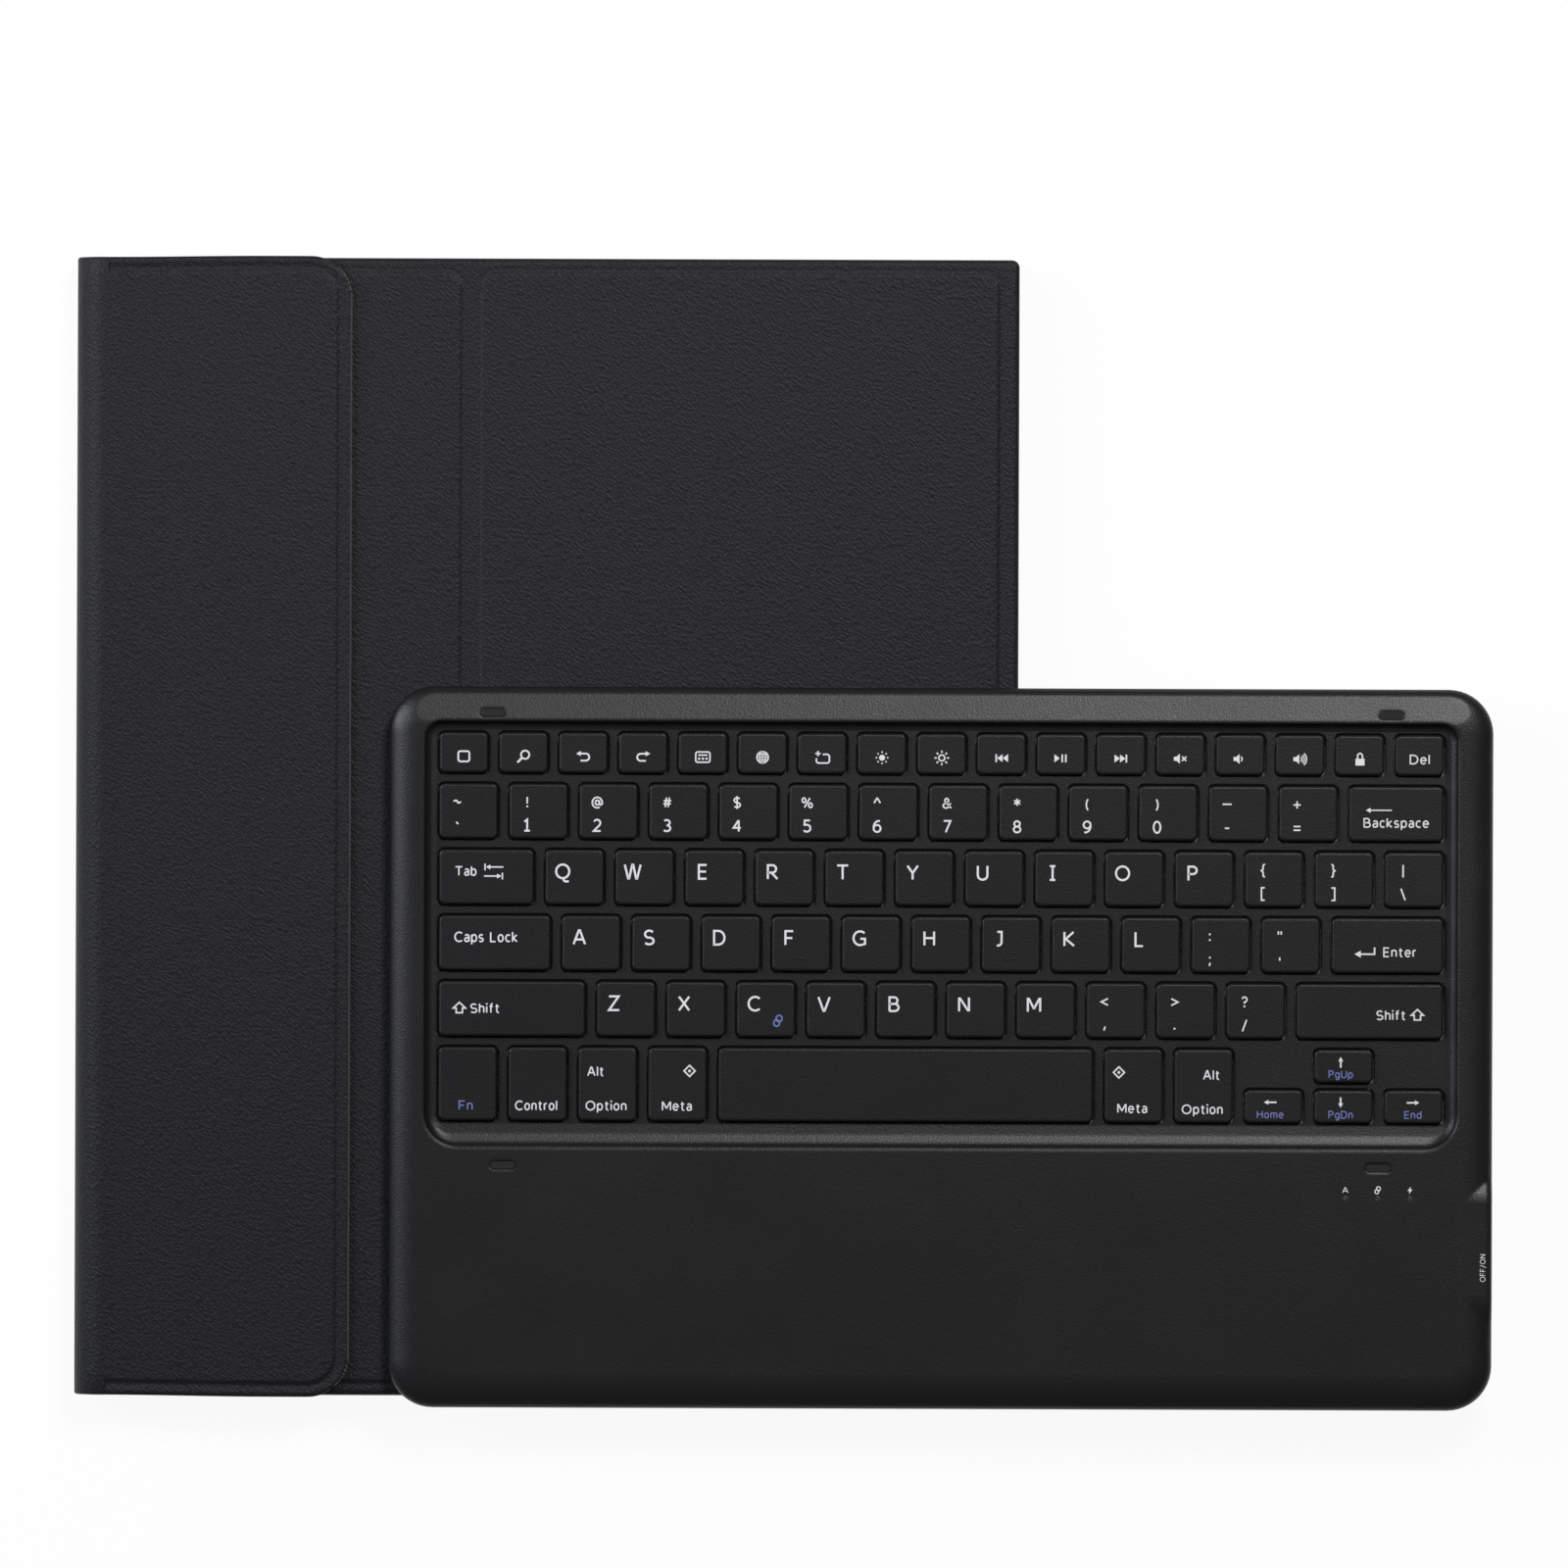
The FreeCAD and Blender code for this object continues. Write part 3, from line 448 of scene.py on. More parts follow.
def half_round(name, centre_x, centre_z, radius, thickness, reach, material, rows=40, steps=48):
    """A strip bent half round, from the bottom up round the left side to the top, with eased ends."""
    ease = thickness * END_EASE
    ends = [(ease * t - reach, ease * (1 - math.sqrt(1 - (1 - t) ** 2))) for t in END_STEPS]
    ends[0] = (-reach, ends[0][1])
    lines = list(ends)
    for k in range(1, steps):
        lines.append((-reach + ease + (2 * reach - 2 * ease) * k / steps, 0.0))
    lines += [(-y, inset) for y, inset in reversed(ends)]
    points = []
    for r_base, share in ((radius, END_EASE_OUTSIDE), (radius - thickness, END_EASE_INSIDE)):
        for y, inset in lines:
            for k in range(rows + 1):
                angle = -math.pi / 2 - math.pi * k / rows
                r = r_base + share * inset
                points.append((centre_x + r * math.cos(angle), y, centre_z + r * math.sin(angle)))
    wide = rows + 1
    layer = wide * len(lines)
    faces = []
    for line in range(len(lines) - 1):
        for k in range(rows):
            a = line * wide + k
            faces.append([a, a + 1, a + 1 + wide, a + wide])
            faces.append([layer + a, layer + a + wide, layer + a + 1 + wide, layer + a + 1])
        for k, order in ((0, 1), (rows, -1)):
            a = line * wide + k
            faces.append([a, a + wide, layer + a + wide, layer + a][::order])
    for line, order in ((0, -1), (len(lines) - 1, 1)):
        for k in range(rows):
            a = line * wide + k
            faces.append([a, a + 1, layer + a + 1, layer + a][::order])
    return make_piece(name, points, faces, [material])


def stand_for(piece, node, body):
    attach(piece, body)
    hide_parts(node)


def edge_drop(inside, roll, height):
    """How far a rolled edge has fallen at a distance inside the outline."""
    t = min(1.0, max(0.0, 1 - inside / roll))
    return height * (1 - math.sqrt(1 - t * t))


# Folio leather
cover_box = (spine_x, free_edge, -half_length, half_length)
cover_roll_box = (spine_x - SPINE_RUN, *cover_box[1:])


def plan(low, high):
    """The left, right, front and rear of a box."""
    return low.x, high.x, low.y, high.y


def hump(distance, width):
    """One in the middle, fading out to both sides."""
    return math.exp(-(distance / width) ** 2)


def pressed(x, y, panels, radii):
    """Height of raised panels with soft shoulders and a fine pressed line round each."""
    height = 0.0
    for panel in panels:
        gap = outside(x, y, panel, radii)
        height += RELIEF * soft_step(0.5 - gap / SHOULDER)
        height -= PRESSED_LINE * hump(gap - PRESSED_LINE_AT, PRESSED_LINE_WIDTH)
    return height


def rear_cover_leather():
    panels = [plan(strut_low, strut_high), plan(carrier_low, carrier_high)]
    border_top = rear_high.z - RELIEF

    def top(x, y):
        inside = -outside(x, y, cover_roll_box, skin_radii)
        relief = pressed(x, y, panels, panel_radii)
        return border_top + relief - edge_drop(inside, EDGE_ROLL, EDGE_ROLL_HEIGHT)

    def bottom(x, y):
        over_board = any(outside(x, y, panel, panel_radii) < BOARD_LAP for panel in panels)
        return strut_high.z + SKIN_GAP if over_board else rear_low.z

    features_x = [x for panel in panels for x in panel[:2]] + [free_edge]
    features_y = [-half_length, panels[0][2], panels[0][3], half_length]
    features = (features_x, features_y)
    piece = relief_sheet("rear_cover_leather", cover_box, skin_radii, top, bottom, features, [leather])
    stand_for(piece, "rear_cover_skin", "rear_cover")


def front_cover_leather():
    panel = plan(front_board_low, front_board_high)

    def bottom(x, y):
        inside = -outside(x, y, cover_roll_box, skin_radii)
        at_spine = RELIEF * soft_step(1 - (x - spine_x) / SPINE_FADE)
        relief = pressed(x, y, [panel], panel_radii) + at_spine
        return RELIEF - relief + edge_drop(inside, EDGE_ROLL, EDGE_ROLL_HEIGHT)

    def top(x, y):
        over_board = outside(x, y, panel, panel_radii) < BOARD_LAP
        return front_board_low.z - SKIN_GAP if over_board else front_lining_low.z

    features = ([spine_x, panel[0], panel[1], free_edge], [-half_length, panel[2], panel[3], half_length])
    piece = relief_sheet("front_cover_leather", cover_box, skin_radii, top, bottom, features, [leather])
    stand_for(piece, "front_cover_skin", "front_cover")


def flap_leather():
    box = (spine_x, flap_high.x, flap_low.y, flap_high.y)
    radii = (SQUARE_R, FLAP_CORNER_R, FLAP_CORNER_R, SQUARE_R)
    roll_box = (spine_x - SPINE_RUN, *box[1:])
    panel = plan(flap_board_low, flap_board_high)
    inner_r = FLAP_CORNER_R - (flap_high.x - panel[1])
    board_radii = (COVER_CORNER_R, inner_r, inner_r, COVER_CORNER_R)
    raised = (spine_x - SPINE_RUN, *panel[1:])
    border_top = flap_high.z - RELIEF
    fold_x = panel[0] + FOLD_LINE_AT

    def top(x, y):
        inside = -outside(x, y, roll_box, radii)
        relief = pressed(x, y, [raised], board_radii) - FOLD_LINE * hump(x - fold_x, FOLD_LINE_WIDTH)
        ridge = FLAP_RIDGE * hump(inside - FLAP_RIDGE_AT, FLAP_RIDGE_WIDTH)
        return border_top + relief + ridge - edge_drop(inside, FLAP_ROLL, FLAP_ROLL_HEIGHT)

    def bottom(x, y):
        if outside(x, y, panel, board_radii) < BOARD_LAP:
            return flap_board_high.z + SKIN_GAP
        return flap_high.z - LEATHER if x < flap_low.x else flap_low.z

    features = ([spine_x, panel[0], panel[1], box[1]], [box[2], panel[2], panel[3], box[3]])
    piece = relief_sheet("flap_leather", box, radii, top, bottom, features, [leather, cut_edge_and_highlight])
    # The rim and the outermost band of the top right of the panel take the lighter cut-edge grey, which
    # paints a highlight along the free edge.
    for face in piece.data.polygons:
        x, y = face.center.x / MM, face.center.y / MM
        if x > panel[1] and outside(x, y, box, radii) > -CUT_EDGE_HIGHLIGHT_BAND:
            face.material_index = 1
    narrowing = 1 - half_length / flap_high.y
    for vertex in piece.data.vertices:
        share = soft_step((vertex.co.x / MM - spine_x) / FLAP_WIDENING)
        vertex.co.y *= 1 - narrowing * (1 - share)
    piece.data.update()
    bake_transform(piece)
    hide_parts("flap_skin")


def spine_leather():
    piece = half_round("spine_leather", spine_x, spine_r, spine_r, LEATHER, half_length, leather)
    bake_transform(piece)
    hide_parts("spine_skin")


# Microfibre linings
def flat_lining(name, node, body, radii):
    low, high = cad(node)
    reach_y = min(high.y, half_length - LINING_INSET)
    box = (low.x, high.x, -reach_y, reach_y)
    ease = (high.z - low.z) * LINING_EASE

    def drop(x, y):
        return edge_drop(-outside(x, y, box, radii), ease, ease)

    def top(x, y):
        return high.z - drop(x, y)

    def bottom(x, y):
        return low.z + drop(x, y)

    features = (box[:2], box[2:])
    fine_reach = 0.5 if max(radii) < PANEL_CORNER_R else 2.0
    piece = relief_sheet(name, box, radii, top, bottom, features, [lining], fine=0.24, reach=fine_reach)
    stand_for(piece, node, body)


def spine_lining():
    radius = (spine_lining_high.z - spine_lining_low.z) / 2
    thickness = front_lining_high.z - front_lining_low.z
    centre_z = (spine_lining_high.z + spine_lining_low.z) / 2
    piece = half_round("spine_inner_lining", spine_x, centre_z, radius, thickness, half_length, lining)
    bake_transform(piece)
    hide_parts("spine_lining")


rear_cover_leather()
front_cover_leather()
flap_leather()
spine_leather()
flat_lining("front_cover_inner_lining", "front_cover_lining", "front_cover", cover_radii)
flat_lining("rear_cover_inner_lining", "rear_cover_lining", "rear_cover", cover_radii)
flat_lining("flap_inner_lining", "flap_lining", "flap", flap_radii)
spine_lining()


# Key legends: thin printed shapes, gathered by the body they ride on and their colour.
# A shape is a list of flat polygons at one level. Shapes that cross take levels of their own.
PRINT_LIFT = 0.03
PRINT_DEPTH = 0.05
LEVEL_STEP = 0.004
LEVELS = 5
STROKE = 0.36
ARC_STEP = 15
HEAD_SHARE = 0.55
SHARPEST_MITRE = 0.35
SAME_PLACE = 0.001
prints = {}


def store(body, color, z, shapes):
    """Keep the shapes of one printed sign."""
    kept = prints.setdefault((body, color), [])
    for k, shape in enumerate(shapes):
        level = z + PRINT_LIFT + LEVEL_STEP * (k % LEVELS)
        kept.extend([[(x, y, level) for x, y in loop] for loop in shape])


def key_faces(node):
    """Left, right, front, rear and height of each key's flat top, from left to right."""
    vertices = nodes[node].data.vertices
    top = max(v.co.z for v in vertices)
    same_level, corner_reach = 0.01, 1.6
    spots = sorted((v.co.x / MM, v.co.y / MM) for v in vertices if v.co.z > top - same_level * MM)
    groups = [[spots[0]]]
    for spot in spots[1:]:
        if spot[0] - groups[-1][-1][0] > corner_reach and is_new_key(groups[-1], spot):
            groups.append([])
        groups[-1].append(spot)
    faces = []
    for group in groups:
        xs = [x for x, y in group]
        ys = [y for x, y in group]
        faces.append((min(xs), max(xs), min(ys), max(ys), top / MM))
    return faces


def is_new_key(group, spot):
    """A key's own left and right ends are far apart; the next key starts just past the right end."""
    least_width = 5.0
    return group[-1][0] - group[0][0] > least_width or spot[0] - group[-1][0] < least_width


# Strokes
def bow(cx, cy, rx, ry, start, stop):
    """Points on an arc of an ellipse, with angles in degrees."""
    count = max(3, round(abs(stop - start) / ARC_STEP))
    angles = [math.radians(start + (stop - start) * k / count) for k in range(count + 1)]
    return [(cx + rx * math.cos(a), cy + ry * math.sin(a)) for a in angles]


def ring(cx, cy, rx, ry=None):
    """Points round a whole ellipse, with its first point given once."""
    return bow(cx, cy, rx, ry or rx, 0, 360)[:-1]


def stroke(points, width=STROKE, closed=False):
    """A line of even width as one strip of quads, mitred where it turns."""
    points = [spot for k, spot in enumerate(points) if k == 0 or math.dist(spot, points[k - 1]) > SAME_PLACE]
    sides = []
    last = len(points) - 1
    for k, (x, y) in enumerate(points):
        runs = []
        if closed or k > 0:
            runs.append((points[k - 1], (x, y)))
        if closed or k < last:
            runs.append(((x, y), points[(k + 1) % len(points)]))
        normals = []
        for (ax, ay), (bx, by) in runs:
            length = math.hypot(bx - ax, by - ay)
            normals.append(((ay - by) / length, (bx - ax) / length))
        nx = sum(n[0] for n in normals)
        ny = sum(n[1] for n in normals)
        size = math.hypot(nx, ny)
        mitre = max(SHARPEST_MITRE, (nx * normals[0][0] + ny * normals[0][1]) / size)
        reach = width / 2 / mitre / size
        sides.append(((x - nx * reach, y - ny * reach), (x + nx * reach, y + ny * reach)))
    ends = sides[1:] + sides[:1] if closed else sides[1:]
    return [[[a[0], b[0], b[1], a[1]] for a, b in zip(sides, ends)]]


def dot(cx, cy, r):
    return [[ring(cx, cy, r)]]


def rounded_points(x0, x1, y0, y1, r):
    points = []
    centres = ((x1 - r, y1 - r), (x0 + r, y1 - r), (x0 + r, y0 + r), (x1 - r, y0 + r))
    for quarter, (cx, cy) in enumerate(centres):
        points += bow(cx, cy, r, r, 90 * quarter, 90 * quarter + 90)
    return points


def arrow(points, head=1.0, width=STROKE):
    """A line whose last point is the tip of a filled head."""
    tail, tip = points[-2:]
    length = math.hypot(tip[0] - tail[0], tip[1] - tail[1])
    ux, uy = (tip[0] - tail[0]) / length, (tip[1] - tail[1]) / length
    neck = (tip[0] - ux * head, tip[1] - uy * head)
    half = head * HEAD_SHARE
    head_shape = [tip, (neck[0] - uy * half, neck[1] + ux * half), (neck[0] + uy * half, neck[1] - ux * half)]
    return stroke(points[:-1] + [neck], width) + [[head_shape]]


def mirrored(shapes):
    return [[[(-x, y) for x, y in reversed(loop)] for loop in shape] for shape in shapes]


def moved(shapes, dx, dy):
    return [[[(x + dx, y + dy) for x, y in loop] for loop in shape] for shape in shapes]


# Lettering: the centre lines of each sign, in hundredths of the capitals' height. One point alone is a dot.
CAPITAL = 100
LETTER_GAP = 32
WORD_GAP = 55
DOT_SHARE = 0.65


def turn_over(points):
    """The same line turned half round about the middle of a digit."""
    digit_width = 62
    return [(digit_width - x, CAPITAL - y) for x, y in points]


def spoke(degrees):
    """A line through the middle of a star."""
    reach, middle_y = 37, 64
    dx, dy = reach * math.cos(math.radians(degrees)), reach * math.sin(math.radians(degrees))
    return [(reach - dx, middle_y - dy), (reach + dx, middle_y + dy)]


S_LINE = bow(34, 74, 31, 26, 35, 250) + bow(33, 25, 33, 25, 70, -145)
P_LINE = [(0, 0), (0, 100), (30, 100)] + bow(32, 73, 28, 27, 90, -90) + [(0, 46)]
SIX_TAIL = bow(46, 40, 46, 58, 78, 180)
SIX_RING = ring(31, 31, 31)
LEFT_BRACE = [(40, 112), (26, 108), (20, 94), (20, 60), (2, 46), (20, 32), (20, -2),
              (26, -16), (40, -20)]
SMALL_RING = ring(27, 37, 27, 37)
SMALL_ARCH = bow(24, 50, 24, 24, 180, 0)
LOOPS = {
    "O": ring(48, 50, 48, 50), "Q": ring(48, 50, 48, 50), "0": ring(30, 50, 30, 50),
    "6": SIX_RING, "9": turn_over(SIX_RING), "@": ring(50, 45, 20, 24), "%": ring(20, 76, 18, 24),
    "8": ring(30, 26, 30, 26), "b": SMALL_RING, "d": SMALL_RING, "g": SMALL_RING, "o": SMALL_RING,
    "p": SMALL_RING,
}
LINES = {
    "A": ([(0, 0), (38, 100), (46, 100), (84, 0)], [(16, 34), (68, 34)]),
    "B": ([(0, 0), (0, 100), (34, 100)] + bow(34, 76, 24, 24, 90, -90) + [(0, 52)],
          [(34, 52)] + bow(38, 26, 28, 26, 90, -90) + [(0, 0)]),
    "C": (bow(48, 50, 48, 50, 48, 312),),
    "D": ([(2, 0), (0, 0), (0, 100), (28, 100)] + bow(30, 50, 46, 50, 90, -90) + [(2, 0)],),
    "E": ([(56, 100), (0, 100), (0, 0), (56, 0)], [(0, 52), (52, 52)]),
    "F": ([(56, 100), (0, 100), (0, 0)], [(0, 50), (50, 50)]),
    "G": (bow(48, 50, 48, 50, 48, 290) + [(84, 9), (84, 46), (50, 46)],),
    "H": ([(0, 0), (0, 100)], [(70, 0), (70, 100)], [(0, 53), (70, 53)]),
    "I": ([(20, 0), (20, 100)], [(0, 100), (40, 100)], [(0, 0), (40, 0)]),
    "J": ([(10, 100), (40, 100), (40, 28)] + bow(13, 26, 27, 26, 0, -105),),
    "K": ([(0, 0), (0, 100)], [(66, 100), (10, 50), (70, 0)]),
    "L": ([(0, 100), (0, 0), (54, 0)],),
    "M": ([(0, 0), (0, 100)], [(4, 98), (43, 24), (47, 24), (86, 98)], [(90, 0), (90, 100)]),
    "N": ([(0, 0), (0, 100)], [(4, 98), (68, 2)], [(72, 0), (72, 100)]),
    "P": (P_LINE,),
    "Q": ([(52, 2), (58, -18), (72, -24), (92, -22)],),
    "R": (P_LINE, [(28, 44), (70, 0)]),
    "S": (S_LINE,),
    "T": ([(0, 100), (80, 100)], [(40, 100), (40, 0)]),
    "U": ([(0, 100), (0, 34)] + bow(35, 32, 35, 32, 180, 360) + [(70, 100)],),
    "V": ([(0, 100), (37, 0), (45, 0), (82, 100)],),
    "W": ([(0, 100), (25, 0), (32, 0), (54, 100), (61, 100), (83, 0), (90, 0), (115, 100)],),
    "X": ([(0, 0), (74, 100)], [(0, 100), (74, 0)]),
    "Y": ([(0, 100), (38, 46), (76, 100)], [(38, 46), (38, 0)]),
    "Z": ([(0, 100), (70, 100), (0, 0), (74, 0)],),
    "1": ([(2, 80), (27, 100), (27, 0)], [(2, 0), (52, 0)]),
    "2": (bow(29, 71, 29, 29, 155, -38) + [(0, 0), (60, 0)],),
    "3": (bow(26, 76, 27, 24, 140, -90), bow(26, 26, 32, 26, 90, -140)),
    "4": ([(46, 0), (46, 100)], [(43, 98), (0, 32), (64, 32)]),
    "5": ([(54, 100), (7, 100), (5, 60)] + bow(26, 31, 32, 31, 108, -145),),
    "6": (SIX_TAIL,),
    "7": ([(0, 100), (60, 100), (18, 0)],),
    "8": (bow(30, 76, 25, 24, 270, -90),),
    "9": (turn_over(SIX_TAIL),),
    "~": (bow(17, 50, 17, 13, 190, 20) + bow(50, 50, 17, 13, 200, 370),),
    "`": ([(0, 82), (20, 58)],),
    "!": ([(0, 100), (0, 32)], [(0, 2)]),
    "@": (bow(50, 45, 52, 55, 300, 0) + [(100, 28), (86, 20), (74, 28), (72, 68)],),
    "#": ([(20, 0), (34, 100)], [(50, 0), (64, 100)], [(4, 66), (82, 66)],
          [(0, 34), (78, 34)]),
    "$": (S_LINE, [(33, 116), (33, -16)]),
    "%": ([(26, 0), (82, 100)], bow(88, 24, 18, 24, 90, 450)),
    "^": ([(0, 50), (30, 100), (36, 100), (66, 50)],),
    "&": ([(84, 0), (20, 68)] + bow(37, 80, 19, 20, 200, -45) + [(14, 44)]
          + bow(30, 24, 30, 24, 130, 320) + [(78, 52)],),
    "*": (spoke(90), spoke(30), spoke(-30)),
    "(": (bow(60, 40, 58, 82, 135, 225),),
    ")": (bow(0, 40, 58, 82, 45, -45),),
    "_": ([(0, 50), (95, 50)],),
    "-": ([(0, 42), (46, 42)],),
    "+": ([(0, 45), (76, 45)], [(38, 7), (38, 83)]),
    "=": ([(0, 63), (72, 63)], [(0, 24), (72, 24)]),
    "{": (LEFT_BRACE,),
    "}": ([(40 - x, y) for x, y in LEFT_BRACE],),
    "[": ([(34, 110), (0, 110), (0, -20), (34, -20)],),
    "]": ([(0, 110), (34, 110), (34, -20), (0, -20)],),
    "|": ([(0, 110), (0, -20)],),
    "\\": ([(0, 105), (44, -15)],),
    "/": ([(0, -15), (44, 105)],),
    ":": ([(0, 66)], [(0, 6)]),
    ";": ([(5, 66)], [(8, 12), (0, -22)]),
    "\"": ([(0, 100), (0, 66)], [(30, 100), (30, 66)]),
    "'": ([(0, 70), (0, 36)],),
    "<": ([(70, 80), (0, 45), (70, 10)],),
    ">": ([(0, 80), (70, 45), (0, 10)],),
    ",": ([(12, 30), (0, -10)],),
    ".": ([(0, 10)],),
    "?": (bow(25, 74, 25, 26, 165, -50) + [(24, 46), (24, 30)], [(24, 2)]),
    "a": (bow(24, 50, 22, 24, 150, 0) + [(46, 0)],
          [(44, 42), (20, 40)] + bow(18, 20, 18, 20, 90, 270) + [(30, 2), (44, 14)]),
    "b": ([(0, 104), (0, 0)],),
    "c": (bow(27, 37, 27, 37, 50, 310),),
    "d": ([(54, 104), (54, 0)],),
    "e": ([(3, 38), (54, 38)] + bow(27, 37, 27, 37, 12, 318),),
    "f": ([(14, 0), (14, 84)] + bow(32, 84, 18, 20, 165, 85), [(0, 72), (34, 72)]),
    "g": ([(54, 74), (54, 0)] + bow(28, -2, 26, 26, -10, -140),),
    "h": ([(0, 104), (0, 0)], SMALL_ARCH + [(48, 0)]),
    "i": ([(0, 74), (0, 0)], [(0, 102)]),
    "k": ([(0, 104), (0, 0)], [(46, 74), (8, 38), (50, 0)]),
    "l": ([(0, 104), (0, 0)],),
    "m": ([(0, 74), (0, 0)], bow(21, 50, 21, 24, 180, 0) + [(42, 0)],
          bow(63, 50, 21, 24, 180, 0) + [(84, 0)]),
    "n": ([(0, 74), (0, 0)], SMALL_ARCH + [(48, 0)]),
    "p": ([(0, 74), (0, -30)],),
    "r": ([(0, 74), (0, 0)], bow(24, 48, 24, 26, 180, 80)),
    "s": (bow(23, 55, 21, 19, 35, 250) + bow(22, 19, 22, 19, 70, -145),),
    "t": ([(14, 96), (14, 22)] + bow(32, 20, 18, 20, 190, 285), [(0, 72), (36, 72)]),
}


def lettering(text, cap, width=None, weight=0.13):
    """Printed text with its middle at the origin and capitals of a given height, fitted to a width if any."""
    line = weight * cap
    scale = (cap - line) / CAPITAL
    pen = 0
    runs = []
    for sign in text:
        if sign == " ":
            pen += WORD_GAP
            continue
        parts = [(points, False) for points in LINES.get(sign, ())]
        if sign in LOOPS:
            parts.append((LOOPS[sign], True))
        xs = [x for points, closed in parts for x, y in points]
        for points, closed in parts:
            runs.append(([(x - min(xs) + pen, y) for x, y in points], closed))
        pen += max(xs) - min(xs) + LETTER_GAP
    wide = pen - LETTER_GAP
    stretch = (width - line) / (wide * scale) if width else 1.0
    shapes = []
    for points, closed in runs:
        spots = [((x - wide / 2) * scale * stretch, (y - CAPITAL / 2) * scale) for x, y in points]
        if len(spots) == 1:
            shapes += dot(*spots[0], line * DOT_SHARE)
        else:
            shapes += stroke(spots, line, closed)
    return shapes


# Icons
def panel_icon():
    shapes = stroke(rounded_points(-1.8, 1.8, -1.3, 1.3, 0.5), 0.36, True)
    shapes += stroke([(-1.15, 0.5), (1.15, 0.5)], 0.36)
    for x in (-0.95, 0.0, 0.95):
        shapes += dot(x, -0.4, 0.3)
    return shapes


def globe_icon():
    shapes = stroke(ring(0, 0, 1.45), 0.34, True) + stroke([(0, -1.4), (0, 1.4)], 0.24)
    for y, reach in ((-0.65, 1.22), (0.0, 1.4), (0.65, 1.22)):
        shapes += stroke([(-reach, y), (reach, y)], 0.24)
    return shapes + stroke(ring(0, 0, 0.72, 1.4), 0.24, True)


def lamp_icon(centre, ray, reach, hollow):
    shapes = stroke(ring(0, 0, centre), 0.36, True) if hollow else dot(0, 0, centre)
    for k in range(8):
        c, s = math.cos(math.pi * k / 4), math.sin(math.pi * k / 4)
        shapes += stroke([(ray * c, ray * s), (reach * c, reach * s)], 0.38)
    return shapes


def wedge(x):
    return [[[(x, -1.0), (x + 1.35, 0), (x, 1.0)]]]


def slab(x0, x1, y0=-1.0, y1=1.0):
    return [[[(x0, y0), (x1, y0), (x1, y1), (x0, y1)]]]


def volume_icon(count):
    shapes = list(speaker)
    for k in range(count):
        reach = 0.75 + 0.6 * k
        shapes += stroke(bow(-0.35, 0, reach, reach, -48, 48), 0.32)
    return shapes


def link_icon(size):
    """Two links of a chain, the upper one further to the right."""
    link = rounded_points(-0.28 * size, 0.28 * size, -0.3 * size, 0.3 * size, 0.26 * size)
    width = 0.15 * size
    shift, rise = 0.12 * size, 0.22 * size
    return moved(stroke(link, width, True), shift, rise) + moved(stroke(link, width, True), -shift, -rise)


home_icon = stroke(rounded_points(-1.4, 1.4, -1.3, 1.3, 0.55), 0.42, True)
search_icon = stroke(ring(0.4, 0.45, 1.05), 0.42, True) + stroke([(-0.5, -0.45), (-1.55, -1.5)], 0.52)
undo_icon = arrow([(-0.7, -1.0), (0.6, -1.0)] + bow(0.6, -0.1, 0.9, 0.9, -80, 90) + [(-1.8, 0.8)], 1.15, 0.42)
redo_icon = mirrored(undo_icon)
window_line = [(-1.5, -0.2), (-1.5, -1.0), (-1.1, -1.4), (1.4, -1.4), (1.8, -1.0), (1.8, 0.4), (1.4, 0.8),
               (0.1, 0.8)]
plus = stroke([(-1.75, 1.0), (-0.45, 1.0)], 0.36) + stroke([(-1.1, 0.35), (-1.1, 1.65)], 0.36)
new_window_icon = stroke(window_line, 0.38) + plus
next_icon = wedge(-1.65) + wedge(-0.25) + slab(1.15, 1.55)
previous_icon = mirrored(next_icon)
play_icon = wedge(-1.75) + slab(0.05, 0.45) + slab(0.95, 1.35)
speaker = [[[(-1.75, -0.5), (-1.1, -0.5), (-0.25, -1.25), (-0.25, 1.25), (-1.1, 0.5), (-1.75, 0.5)]]]
mute_icon = speaker + stroke([(0.3, -0.55), (1.4, 0.55)], 0.36) + stroke([(0.3, 0.55), (1.4, -0.55)], 0.36)
shackle = [(-0.62, 0.1)] + bow(0, 0.75, 0.62, 0.75, 180, 0) + [(0.62, 0.1)]
padlock_icon = slab(-1.15, 1.15, -1.55, 0.15) + stroke(shackle, 0.38)
tab_icon = arrow([(2.45, 1.15), (-1.95, 1.15)], 1.1, 0.34) + stroke([(-2.2, 0.3), (-2.2, 2.0)], 0.34)
tab_icon += arrow([(-2.45, -1.15), (1.95, -1.15)], 1.1, 0.34) + stroke([(2.2, -2.0), (2.2, -0.3)], 0.34)
shift_half = [(0, 1.4), (1.55, -0.05), (0.8, -0.05), (0.8, -1.25)]
shift_icon = stroke(shift_half + [(-x, y) for x, y in shift_half[:0:-1]], 0.36, True)
enter_icon = arrow([(2.5, 1.2), (2.5, -0.5), (-2.6, -0.5)], 1.6, 0.4)
diamond_icon = stroke([(0, 1.4), (1.4, 0), (0, -1.4), (-1.4, 0)], 0.38, True) + dot(0, 0, 0.36)
bolt_icon = [[[(0.25, 0.95), (-0.65, -0.15), (-0.1, -0.15), (-0.25, -0.95), (0.65, 0.2), (0.1, 0.2)]]]

# Places of the legends, measured from the rear left corner of each key, half way down its rounded rim
LETTER_CAP, DIGIT_CAP, SIGN_CAP, WORD_CAP, SMALL_CAP = 4.0, 3.3, 2.8, 2.5, 2.0
LETTER_DX, LETTER_DY = 4.15, 5.3
SIGN_DX, SIGN_DY, DIGIT_DY = 4.3, 4.4, 10.3
ICON_DROP = 1.0
WORD_WEIGHT = 0.135
RIM_SHARE = 0.35


